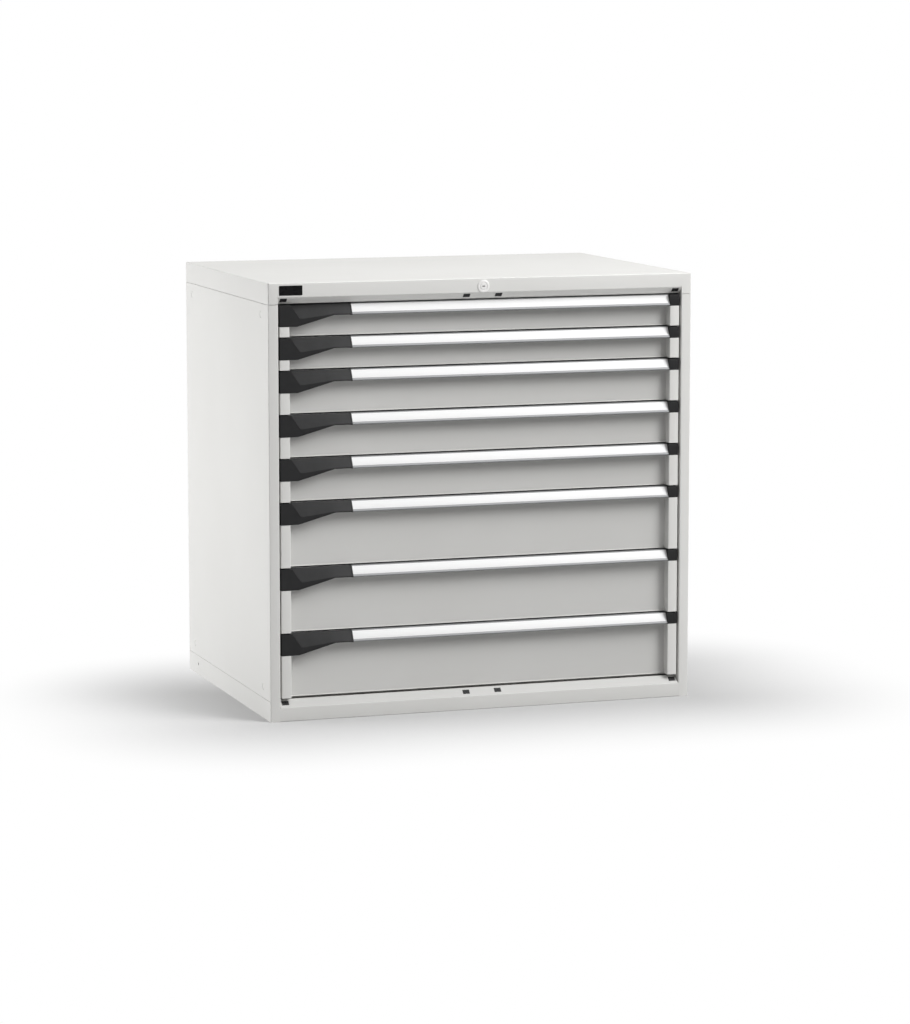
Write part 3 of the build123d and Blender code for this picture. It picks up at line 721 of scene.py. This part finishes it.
def slotPlug(x, middle, up):
    # The pads' outlines are parallelogram halves of the slot, (u, v) in the slope's plane. Each layer of a
    # head is its outline drawn in towards its middle.
    u, v = (slope["slotLength"] - plug["play"]) / 2, (slope["slotWidth"] - plug["play"]) / 2
    lean, groove, sunk = plug["lean"] / 2, plug["groove"] / 2, -plug["sunk"]
    profile = [(plug["chamfer"], -plug["depth"]), (0, plug["chamfer"] - plug["depth"]), (0, sunk)]
    body = pad(roundedLoop(u, v, plug["corner"], 3), plug["corner"], profile)
    u, v = u + plug["brim"], v + plug["brim"]
    corners = [(-u, -v), (-groove - lean, -v), (-groove + lean, v), (-u, v)]
    ring = roundedPath(corners, plug["headCorner"], 3, closed=True)
    centre = ring.mean(0)
    layers = [(1.0, sunk), (1.0, plug["rise"] - 0.25), (plug["crown"], plug["rise"])]
    points, faces = stacked([(centre + (ring - centre) * share, height) for share, height in layers], turn=-1)
    across, upwards = (1, 0, 0), (0, up / math.sqrt(2), 1 / math.sqrt(2))
    heads = [(points, faces), (points * (-1, -1, 1), faces)]
    return [placed(s, (x, *middle), across, upwards) for s in [body] + heads]


plugs = [s for x in slotX for s in slotPlug(x, coverMiddle, -1) + slotPlug(x, railMiddle, 1)]
makePiece("slotPlugs", plugs, blackPlastic, "cabinet", ["slot_plugs"])

# Name plate, left bare: a gloss plate with a fine raised rim
plate = {"corner": 1.6, "edge": 0.2, "rim": 0.6, "sink": 0.3}


def namePlate():
    # A rounded rectangle whose height follows the inset: a chamfer, the rim, and the face sunk behind it.
    low, high = nodeBox("name_plate")
    size, middle = (high - low) / 2, (high + low) / 2
    rise, edge, rim = 2 * size[1], plate["edge"], plate["rim"]
    profile = [(edge, 0), (0, 0.15), (0, rise - edge), (edge, rise), (rim, rise),
               (rim + 0.25, rise - plate["sink"])]
    shape = pad(roundedLoop(size[0], size[2], plate["corner"], 5), plate["corner"], profile)
    return placed(shape, (middle[0], high[1], middle[2]), (1, 0, 0), (0, 0, 1))


makePiece("namePlate", [namePlate()], plateBlack, "cabinet", ["name_plate"])

# Lock: ring, barrel and nut in the fascia, and a core that turns with its cam
lock = {
    "ringRadius": 14.2,
    # the ring from the fascia outwards and in to its mouth: past the ring's radius, and height over the front
    "ringProfile": [(-0.9, 0), (-0.9, 0.45), (0, 0.55), (0, 0.95), (-0.7, 1.2), (-4.4, 1.2),
                    (-4.7, 0.9), (-4.7, 0.1)],
    "coreRadius": 7.7,
    "coreRise": 1.4,
    "coreEdge": [(1.2, 0), (0.3, 0.12), (0, 0.45)],  # in from the core's rim, and below its face
    "coreTail": 2.0,  # behind the barrel
    "barrelRadius": 9.8,
    "barrelLength": 27.5,
    "chamfer": 0.5,
    "nutRadius": 14.0,
    "nutLength": 4.0,
    "keyLength": 6.5,
    "keyHeight": 2.4,
    "keyDepth": 18.0,
    "keyEdge": 0.25,
    # radius, and height from the core's end
    "camProfile": [(6.5, 0.05), (7.0, -0.4), (7.0, -2.1), (6.5, -2.5)],
    "camThrow": 3.0,
    "pinRadius": 2.0,
}
barrelEnd, coreEnd = -lock["barrelLength"], -lock["barrelLength"] - lock["coreTail"]
keyHalf = np.array([lock["keyLength"], lock["keyHeight"]]) / 2


def lockPlace(shape):
    # heights count outwards from the front plane, about the lock's axis
    middle = sum(nodeBox("lock_body")) / 2
    return placed(shape, (middle[0], frontY, middle[2]), (1, 0, 0), (0, 0, 1))


def lockBody():
    # Turned section from the bore's back over the barrel and the domed ring to the mouth, with a hexagon nut.
    bore, barrel, chamfer = lock["coreRadius"], lock["barrelRadius"], lock["chamfer"]
    section = [(bore, barrelEnd), (barrel - chamfer, barrelEnd), (barrel, barrelEnd + chamfer), (barrel, 0)]
    section += [(lock["ringRadius"] + past, height) for past, height in lock["ringProfile"]]
    section += [(bore + chamfer, 0.1), (bore, 0), (bore, barrelEnd)]
    angle = np.radians(np.arange(6) * 60)
    corner = np.stack([np.cos(angle), np.sin(angle)], 1)
    ring = np.stack([corner * (barrel + air), corner * lock["nutRadius"]])
    front = np.concatenate([ring, np.full((2, 6, 1), -cabinet["sheet"])], -1)
    nut = sheetShell(front, front - (0, 0, lock["nutLength"]), wrap=True)
    return [lockPlace(lathed(section, 64)), lockPlace(nut)]


def lockCore():
    # The face runs from the keyway's rectangle, the circle's direction held within its half sizes, out to
    # the rim; the keyway's walls go back from the rectangle, and the core's side from the rim.
    count, face = 64, lock["coreRise"]
    angle = (np.arange(count) + 0.5) * 2 * np.pi / count
    spoke = np.stack([np.cos(angle), np.sin(angle)], 1)
    key = np.clip(spoke * 8.0, -keyHalf, keyHalf)
    radius, keyEdge = lock["coreRadius"] - air, lock["keyEdge"]
    layers = [(key, face - lock["keyDepth"]), (key, face - keyEdge), (key + np.sign(key) * keyEdge, face)]
    layers += [(spoke * (radius - inset), face - drop) for inset, drop in lock["coreEdge"]]
    layers += [(spoke * radius, coreEnd)]
    return [lockPlace(stacked(layers))]


def lockCam():
    # hub and crank pin behind the barrel
    profile, throw, radius = lock["camProfile"], lock["camThrow"], lock["pinRadius"]
    rim = [(r, coreEnd + height) for r, height in profile]
    hub = [(tip, rim[0][1])] + rim + [(tip, rim[-1][1])]
    pinEnd = frontY - nodeBox("lock_core")[1][1]
    pin = [(tip, coreEnd - 1.0), (radius, coreEnd - 1.0), (radius, pinEnd + 0.5), (radius - 0.5, pinEnd),
           (tip, pinEnd)]
    points, faces = lathed(pin, 24)
    return [lockPlace(lathed(hub, 40)), lockPlace((points + (throw, -throw, 0), faces))]


makePiece("lockBody", lockBody(), nickel, "cabinet", ["lock_body"])
# A black sheet just inside the keyway's mouth: painted shade for the dark depth of the keyhole.
key = keyHalf - air
keyholeShade = slab(-key[0], key[0], -key[1], key[1], lock["coreRise"] - 1.2, lock["coreRise"] - 0.6)
makePiece("keyholeShadeSheet", [lockPlace(keyholeShade)], blackPlastic, "lock_core")
makePiece("lockCore", lockCore() + lockCam(), nickel, "lock_core", ["lock_core"])
print("lock, plate and plugs made")

# Drawers
drawer = {
    "sheet": 1.2,
    "bend": 1.7,
    "shoulder": 23.0,
    "recess": 23.0,  # panel behind the shoulders
    "catchHeight": 49.5,  # room for the lever above the left shoulder
    "barHeight": 26.0,  # room for the bar's end cap above the right shoulder
    "endGap": 0.65,  # from the shoulders' inner sides to the panel's ends
    "lip": 2.5,  # forward hem at the panel's foot
    "hemHeight": 1.3,
    "hemPlay": 0.5,
    "floorLift": 2.0,
    "rimDrop": 10.0,
    "trayHalf": 460.2,
    "trayLength": 612.0,
    "slotPitch": 17.0,  # divider slots in the tray's sides
    "slotWidth": 3.4,
    "slotLift": 14.0,  # above the tray's floor
    "slotDrop": 9.0,  # below the tray's rim
    "slotStart": 21.0,
    "slotStop": 12.0,
    "railLift": 20.0,  # middle of the tray's rail above the lower edge
    "railHalf": 15.5,
    "railLip": 1.5,
    "railWeb": 462.2,  # from the middle
    "railTip": 474.7,
    "railShort": 0.1,  # than the tray
    # from and to: right of the middle, behind the front plane, above the lower edge
    "lug": (460.3, 486.5, 49.5, 51.5, 42.0, 54.0),
}


def shoulderTops(high):
    # upper ends of the left and the right shoulder
    return high - drawer["catchHeight"], high - drawer["barHeight"]


def frontSheet(low, high, edge, faceY):
    # Plan line of the folded front: shoulder, recessed panel, shoulder; each stretch has its own height.
    inner, panelY, bend = edge - drawer["shoulder"], faceY + drawer["recess"], drawer["bend"]
    backPlane = panelY + drawer["sheet"]
    left = [(-edge, backPlane), (-edge, faceY), (-inner, faceY), (-inner, panelY)]
    path = roundedPath(left + [(-x, y) for x, y in left[::-1]], [bend, bend, 0.6, 0.6, bend, bend], 4)
    leftTop, rightTop = shoulderTops(high)
    levels = stations(low, leftTop, rightTop, high)
    x, _, z = cellMiddles(path, levels)
    reach = inner - 0.01
    keep = ((x < -reach) & (z < leftTop)) | ((x > reach) & (z < rightTop)) | (np.abs(x) < reach)
    return foldedSheet(path, levels, 2, drawer["sheet"], keep)


def frontPlates(low, high, edge, faceY):
    # ends of the panel beside the lever and the end cap, the shoulders' tops and feet, and the panel's hem
    inner, panelY, sheet = edge - drawer["shoulder"], faceY + drawer["recess"], drawer["sheet"]
    gap, end = sheet + 0.02, inner + drawer["endGap"]
    leftTop, rightTop = shoulderTops(high)
    shapes = [slab(-edge, -end, panelY, panelY + sheet, leftTop, high),
              slab(end, edge, panelY, panelY + sheet, rightTop, high)]
    for x0, x1, top in ((-edge + gap, -inner - gap, leftTop), (inner + gap, edge - gap, rightTop)):
        shapes += [slab(x0, x1, faceY + gap, panelY, z, z + sheet) for z in (low, top - sheet)]
    hemY, hemBack, hemZ = panelY - drawer["lip"], panelY - 0.03, low + drawer["hemHeight"]
    corners = [(hemY, low), (hemY, hemZ), (hemBack, hemZ), (hemBack, low)]
    hem = roundedPath(corners, [0.55, 0.6, 0, 0], 4, closed=True)
    return shapes + [carried(hem, (-inner + drawer["hemPlay"], inner - drawer["hemPlay"]))]


def traySheets(low, high, faceY):
    # Section (x, z) of floor and sides carried back, with divider slots in the sides, and the back sheet.
    sheet, half, reach = drawer["sheet"], drawer["trayHalf"], drawer["slotWidth"] / 2
    startY = faceY + drawer["recess"] + sheet
    endY, startY = startY + drawer["trayLength"], startY + air
    floorZ, rimZ = low + drawer["floorLift"], high - drawer["rimDrop"]
    slotFoot, slotHead = floorZ + drawer["slotLift"], rimZ - drawer["slotDrop"]
    left = [(-half, z) for z in (rimZ, slotHead, slotFoot, floorZ)]
    path = roundedPath(left + [(-x, z) for x, z in left[::-1]], [0, 0, 1.8, 1.8, 0, 0], 3)
    middle = np.arange(startY + drawer["slotStart"], endY - drawer["slotStop"], drawer["slotPitch"])
    places = stations(startY, endY + sheet, middle - reach, middle + reach)
    _, z, y = cellMiddles(path, places)
    atSlot = (np.abs(y[0][:, None] - middle) < reach).any(1)
    tray = foldedSheet(path, places, 1, sheet, ~((z > slotFoot) & (z < slotHead) & atSlot))
    inside = half - sheet - air
    return [tray, slab(-inside, inside, endY, endY + sheet, floorZ + sheet + air, rimZ)]


def trayRails(low, faceY):
    # channel section (x, z), open outwards, carried along the tray, and the lug that the lock bar holds
    z, half, lip = low + drawer["railLift"], drawer["railHalf"], drawer["railLip"]
    inside, web, tipX = -drawer["trayHalf"] - air, -drawer["railWeb"], -drawer["railTip"]
    section = [(inside, z - half), (inside, z + half), (tipX, z + half), (tipX, z + half - lip),
               (web, z + half - lip), (web, z - half + lip), (tipX, z - half + lip), (tipX, z - half)]
    outline = roundedPath(section, [0.3, 0.3, 0.6, 0.6, 0.3, 0.3, 0.6, 0.6], 2, closed=True)
    startY = faceY + drawer["recess"] + drawer["sheet"] + air
    rail = carried(outline, (startY, startY + drawer["trayLength"] - drawer["railShort"]), axis=1)
    x0, x1, y0, y1, z0, z1 = drawer["lug"]
    return [rail, mirrored(rail), slab(x0, x1, frontY + y0, frontY + y1, low + z0, low + z1)]


# Grip bar: an extrusion with a sloped channel for the card, in (y, z) from the front plane and the upper edge
bar = {
    "topBack": 13.0,  # upper edge of the slope behind the front
    "slopeHeight": 24.0,
    "height": 26.0,
    "channel": 1.6,
    "topLip": 1.2,
    "footLip": 5.2,
    "noseBack": 3.2,  # foot set back under the lip
    "noseDrop": 0.7,
    "wall": 2.0,
    "lipWall": 5.2,
    "flange": 20.0,
    "endPlate": 3.5,
    "cardPlay": 0.2,
    "cardTop": 0.45,  # the card's face and back below the slope's
    "cardBack": 1.55,
}
slopeLength = math.hypot(bar["topBack"], bar["slopeHeight"])


def onSlope(down, off):
    # a point by its way down the slope and its height off it
    back, height = bar["topBack"], bar["slopeHeight"]
    y = back - (down * back + off * height) / slopeLength
    return y, -(down * height - off * back) / slopeLength


def barOutline():
    # lips and channel along the slope, the foot, and back inside by the wall to the flange on the panel
    back, height, wall, channel = bar["topBack"], bar["slopeHeight"], bar["wall"], bar["channel"]
    end, deep, panel = slopeLength - bar["footLip"], channel + wall, drawer["recess"]
    innerTop = back + deep * slopeLength / height - wall * back / height
    corners = [onSlope(0, 0), onSlope(bar["topLip"], 0), onSlope(bar["topLip"], -channel),
               onSlope(end, -channel), onSlope(end, 0), onSlope(slopeLength, 0),
               (bar["noseBack"], -height - bar["noseDrop"]),
               (bar["noseBack"], -bar["height"]), (bar["lipWall"], -bar["height"]),
               onSlope(end + channel / 2, -deep), (innerTop, -wall), (panel - wall, -wall),
               (panel - wall, -bar["flange"]), (panel, -bar["flange"]), (panel, 0)]
    radii = [0.5, 0.3, 0.2, 0.2, 0.4, 0.8, 0.3, 0.5, 0.5, 0.6, 0.5, 0.5, 0.3, 0.3, 0.3]
    return roundedPath(corners, radii, 3, closed=True)


def stripOutline():
    # the card and its cover, a little crowned between the channel's lips
    start, end = bar["topLip"] + bar["cardPlay"], slopeLength - bar["footLip"] - bar["cardPlay"]
    top, back = -bar["cardTop"], -bar["cardBack"]
    corners = [onSlope(start, back), onSlope(start, top), onSlope((start + end) / 2, top + 0.03),
               onSlope(end, top), onSlope(end, back)]
    return roundedPath(corners, [0.1, 0.3, 12.0, 0.3, 0.1], 4, closed=True)


def barPieces(high, faceY, left, right, edge):
    # Every outline is given from the front plane and the upper edge. The end plate follows the bar's slope,
    # and the end cap is square.
    home, panel, foot, play = np.array([faceY, high]), drawer["recess"], -bar["height"], bar["cardPlay"]
    plateCorners = [onSlope(0, 0), onSlope(slopeLength, 0), (0, foot), (panel, foot), (panel, 0)]
    plateOutline = roundedPath(plateCorners, [1.0, 1.5, 0.8, 0.3, 0.3], 3, closed=True)
    capCorners = [(0, 0), (0, foot), (panel, foot), (panel, 0)]
    capOutline = roundedPath(capCorners, [0.8, 0.8, 0.3, 0.3], 3, closed=True)
    grip = carried(home + barOutline(), (left, right))
    card = carried(home + stripOutline(), (left + play, right - play))
    ends = [carried(home + capOutline, (right + air, edge)),
            carried(home + plateOutline, (left - bar["endPlate"], left - air))]
    return grip, card, ends


# Catch lever: the front face is a height field over (x, drop below the upper edge)
catch = {
    "height": 49.0,
    "flat": 41.5,  # level lower edge, from the left end
    "cornerRun": 11.0,
    "cornerRise": 3.0,
    "rampEnd": 128.5,
    "tail": 25.0,
    "depth": 20.0,
    "wall": 3.0,
    "facetTop": 25.5,  # upper left corner of the facet, from the left end
    "facetFoot": 46.5,
    "footDrop": 30.0,
    "footStep": 0.6,
    "ridgeStart": 51.5,
    "ridgeDrop": 32.0,
    "ridgeTail": 22.5,
    "topRecess": 17.0,  # of the facet at its upper left corner
    "tailRecess": 13.0,
    "stepRun": 2.4,  # width of the step at the facet's left end, at the top
    "rodRadius": 2.0,
    "rodEnd": 1.5,  # from the lever's ends
    "rodChamfer": 0.3,
    "rodDepth": 16.5,
    "rodDrop": 11.0,
    "lugHalf": 3.5,
    "lugWidth": 2.0,
    "lugInset": 4.5,
    "lugNotch": 2.2,
}


def catchFace(length):
    # Columns x follow the facet's left boundary above the ridge, and rows run to the ridge and from it to the
    # lower edge. Recess = top recess * (1 - drop / ridge drop) inside the facet, and nothing outside it.
    flat, rampEnd, split = catch["flat"], catch["rampEnd"], catch["ridgeStart"]
    cornerX = flat + catch["cornerRun"]
    facetTop, facetFoot, ridgeDrop = catch["facetTop"], catch["facetFoot"], catch["ridgeDrop"]
    base = stations(0, flat, split, cornerX, np.linspace(split, rampEnd, 8), length)
    leftCols, rightCols = np.array([0.0, 0.45, 1.0]), base[base > split + 0.01]
    grow = (rightCols - split) / (length - split)

    def columns(facet, step):
        # the facet's left boundary, its step, and the rest drawn out evenly to the right end
        start = facet + step
        return np.concatenate([leftCols * facet, [start], start + grow * (length - start)])

    footX = np.concatenate([[0, flat, split, split], rightCols])
    topX, midX = columns(facetTop, catch["stepRun"]), columns(facetFoot, catch["footStep"])
    ridgeZ = np.interp(footX, [0, split, rampEnd, length], [ridgeDrop, ridgeDrop] + [catch["ridgeTail"]] * 2)
    height, tail = catch["height"], catch["tail"]
    footZ = np.interp(footX, [0, flat, cornerX, rampEnd, length],
                      [height, height, height - catch["cornerRise"], tail, tail])
    midZ = np.minimum(catch["footDrop"], ridgeZ * catch["footDrop"] / ridgeDrop)
    x = np.stack([topX, midX, footX, footX])
    drop = np.stack([0 * footX, midZ, ridgeZ, footZ])
    recessTop = np.interp(topX, [facetTop, rampEnd], [catch["topRecess"], catch["tailRecess"]])
    recess = recessTop * (1 - drop / ridgeZ)
    recess[3] = 0
    recess[:, :3] = 0
    return x, drop, recess


def catchLever(left, right, high, faceY):
    # A tub: the face, its sides back to the full depth, and the same surface moved in by the wall.
    x, drop, recess = catchFace(right - left)
    wall, depth = catch["wall"], catch["depth"]

    def tub(x, drop, recess):
        # the field with one more row and column all round, at the full depth
        x, drop = np.pad(x, 1, mode="edge"), np.pad(drop, 1, mode="edge")
        return np.stack([left + x, faceY + np.pad(recess, 1, constant_values=depth), high - drop], -1)

    inner = tub(np.clip(x, wall, right - left - wall), np.clip(drop, wall, drop[-1] - wall),
                np.minimum(recess + wall, depth - 0.4))
    radius, chamfer, length = catch["rodRadius"], catch["rodChamfer"], right - left - 2 * catch["rodEnd"]
    rod = lathed([(tip, 0), (radius - chamfer, 0), (radius, chamfer), (radius, length - chamfer),
                  (radius - chamfer, length), (tip, length)], 20)
    rodPlace = (left + catch["rodEnd"], faceY + catch["rodDepth"], high - catch["rodDrop"])
    return sheetShell(tub(x, drop, recess), inner), placed(rod, rodPlace, (0, 1, 0), (0, 0, 1))


def catchLugs(left, right, high, faceY):
    # lugs of the panel, each notched from the front round the lever's rod
    y, z, panelY = faceY + catch["rodDepth"], high - catch["rodDrop"], faceY + drawer["recess"]
    size, notch, width, inset = catch["lugHalf"], catch["lugNotch"], catch["lugWidth"], catch["lugInset"]
    lower = [(panelY, -size), (y - size, -size), (y - size, -notch), (y + notch, -notch)]
    outline = [(back, z + up) for back, up in lower] + [(back, z - up) for back, up in lower[::-1]]
    return [carried(outline, (x, x + width)) for x in (left + inset, right - inset - width)]


def buildDrawer(number):
    # every size is taken from the boxes of this drawer's own nodes: tray, bar and lever
    name, body, lever = f"drawer{number}", f"drawer_{number}", f"catch_{number}"
    low, high = nodeBox(f"{body}_tray")
    faceY, edge, z0, z1 = low[1], -low[0], low[2], high[2]
    barLow, barHigh = nodeBox(f"{body}_handle_bar")
    catchLow, catchHigh = nodeBox(f"{body}_catch")
    tray = [frontSheet(z0, z1, edge, faceY)] + frontPlates(z0, z1, edge, faceY)
    tray += traySheets(z0, z1, faceY) + trayRails(z0, faceY)
    tray += catchLugs(catchLow[0], catchHigh[0], z1, faceY)
    made = makePiece(f"{name}Tray", tray, greyPaint, body, [f"{body}_tray"])
    panelY = faceY + drawer["recess"]
    # The recessed panel's front faces take the darker copy of the paint: painted shade under the grip bar.
    retone(made, frontShadePaint,
           lambda normal, middle: (normal[:, 1] < -0.9) & (abs(middle[:, 1] - panelY) < 0.5))
    grip, card, ends = barPieces(z1, faceY, barLow[0], barHigh[0], edge)
    makePiece(f"{name}Bar", [grip], aluminium, body, [f"{body}_handle_bar"])
    makePiece(f"{name}Strip", [card], whiteStrip, body, [f"{body}_label_strip"])
    makePiece(f"{name}BarEnds", ends, blackPlastic, body, [f"{body}_bar_ends"], bevel=0.5)
    shell, rod = catchLever(catchLow[0], catchHigh[0], z1, faceY)
    makePiece(f"{name}Catch", [shell], blackPlastic, lever, [f"{body}_catch"], 20.0, 0.45)
    makePiece(f"{name}CatchRod", [rod], zincSteel, lever)


drawerCount = sum(node.endswith("_tray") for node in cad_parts)
for number in range(1, drawerCount + 1):
    buildDrawer(number)
print("drawers made:", drawerCount)

# Nodes whose own shape stays
keptNodes = {f"drawer_{n}_mid_runners": zincSteel for n in range(1, drawerCount + 1)}
keptNodes.update(back_panel=greyPaint, uprights=zincSteel, cabinet_runners=zincSteel, lock_bar=zincSteel)
for node, material in keptNodes.items():
    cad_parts[node].data.materials.clear()
    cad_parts[node].data.materials.append(material)

# Floor: pale, keeps the shadow near the cabinet and fades into the white background further out. Its sizes
# are in metres, and the fade's distance is taken from the front half of the footprint.
ground = {
    "half": 9.0,
    "seen": (0.49, 0.49, 0.49),  # to the camera and in reflections
    "bounce": (0.45, 0.45, 0.45),  # to scattered light, so that little comes from below
    "middle": (0, -0.18, 0),
    "reach": (halfWidth * mm, 0.18, 0),
    "fadeStart": -0.12,
    "fadeEnd": 0.62,
    "roughness": 0.7,
    "specular": 0.2,
}
white = (1, 1, 1, 1)


def makeFloor():
    # The distance is the length of max(|place - middle| - reach, 0).
    material, tree, shader = newMaterial("paleFloor")
    shader.inputs["Roughness"].default_value = ground["roughness"]
    shader.inputs["Specular IOR Level"].default_value = ground["specular"]
    place = addNode(tree, "TexCoord")["Object"]
    steps = (("SUBTRACT", ground["middle"]), ("ABSOLUTE", (0, 0, 0)), ("SUBTRACT", ground["reach"]),
             ("MAXIMUM", (0, 0, 0)))
    for operation, other in steps:
        place = addNode(tree, "VectorMath", {0: place, 1: other}, operation=operation)["Vector"]
    distance = addNode(tree, "VectorMath", {0: place}, operation="LENGTH")["Value"]
    limits = {"From Min": ground["fadeStart"], "From Max": ground["fadeEnd"]}
    fade = addNode(tree, "MapRange", {"Value": distance, **limits}, interpolation_type="SMOOTHSTEP")["Result"]
    path = addNode(tree, "LightPath")
    seen = anyOf(tree, path["Is Camera Ray"], path["Is Glossy Ray"], path["Is Transmission Ray"])
    feed(tree, shader.inputs["Base Color"], shade(tree, seen, ground["bounce"], ground["seen"]))
    share = addNode(tree, "Math", {0: fade, 1: seen}, operation="MULTIPLY")[0]
    backdrop = addNode(tree, "Emission", {"Color": white, "Strength": 1.0})[0]
    surface = mixShaders(tree, share, shader.outputs[0], backdrop)
    feed(tree, tree.nodes["Material Output"].inputs["Surface"], surface)
    half = ground["half"]
    mesh = bpy.data.meshes.new("floor")
    corners = [(-half, -half, 0), (half, -half, 0), (half, half, 0), (-half, half, 0)]
    mesh.from_pydata(corners, [], [(0, 1, 2, 3)])
    mesh.materials.append(material)
    floor = bpy.data.objects.new("floor", mesh)
    bpy.context.scene.collection.objects.link(floor)


studio = {
    "ambient": 0.05,
    "reflected": 0.35,  # the surroundings as reflections see them
    # name: (place, aimed at, width, height, watts)
    "lamps": {
        "keyRight": ((2.8, -3.2, 6.2), (0, -0.36, 0.5), 3.6, 3.6, 292.0),
        "keyLow": ((4.2, -4.4, 4.6), (0, -0.36, 0.5), 3.0, 3.0, 278.0),
        "keyLeft": ((-2.8, -3.2, 6.2), (0, -0.36, 0.5), 3.6, 3.6, 65.0),
        "overhead": ((0.0, 0.9, 6.5), (0, 0.2, 0.9), 4.0, 3.0, 108.0),
        "leftFar": ((-6.5, 1.5, 3.0), (-0.5, 0.0, 0.5), 3.0, 2.5, 156.0),
        "leftLow": ((-2.7, 1.3, 0.5), (-0.5, 0.25, 0.55), 1.0, 0.8, 33.0),
    },
}


def makeWorld():
    # white where it is seen, pale where it is reflected, a soft grey light elsewhere
    world = bpy.data.worlds.new("studio")
    world.use_nodes = True
    tree = world.node_tree
    soft = tree.nodes["Background"]
    feed(tree, soft.inputs["Color"], white)
    feed(tree, soft.inputs["Strength"], studio["ambient"])
    path = addNode(tree, "LightPath")
    pale, backdrop = (addNode(tree, "Background", {"Color": white, "Strength": strength})[0]
                      for strength in (studio["reflected"], 1.0))
    seen = anyOf(tree, path["Is Camera Ray"], path["Is Transmission Ray"])
    unseen = mixShaders(tree, path["Is Glossy Ray"], soft.outputs[0], pale)
    feed(tree, tree.nodes["World Output"].inputs["Surface"], mixShaders(tree, seen, unseen, backdrop))
    bpy.context.scene.world = world


def makeLamps():
    # a lamp's -Z points at its aim: tilt = atan2(level distance, height), turn = atan2(x, -y)
    for name, (place, aim, width, height, watts) in studio["lamps"].items():
        lamp = bpy.data.lights.new(name, "AREA")
        lamp.shape, lamp.size, lamp.size_y, lamp.energy = "RECTANGLE", width, height, watts
        holder = bpy.data.objects.new(name, lamp)
        bpy.context.scene.collection.objects.link(holder)
        x, y, z = np.array(place) - np.array(aim)
        holder.location, holder.visible_camera = place, False
        holder.rotation_euler = (math.atan2(math.hypot(x, y), z), 0, math.atan2(x, -y))


camera = {
    "place": (-2.77, -8.3141, 1.6339),
    "yaw": 18.763,  # degrees to the right of the depth axis
    "pitch": 7.93,  # degrees below level
    "lens": 129.83,
    "sensor": 36.0,
}


def makeCamera():
    # looks along +Y, turned to the right by the yaw and down by the pitch
    data = bpy.data.cameras.new("view")
    data.lens, data.sensor_width = camera["lens"], camera["sensor"]
    data.clip_start, data.clip_end = 0.1, 60.0
    holder = bpy.data.objects.new("view", data)
    bpy.context.scene.collection.objects.link(holder)
    holder.location = camera["place"]
    holder.rotation_euler = (math.radians(90 - camera["pitch"]), 0, math.radians(-camera["yaw"]))
    bpy.context.scene.camera = holder


makeFloor()
makeWorld()
makeLamps()
makeCamera()
bpy.context.scene.view_settings.view_transform = "Standard"
print("floor, lamps and camera set")
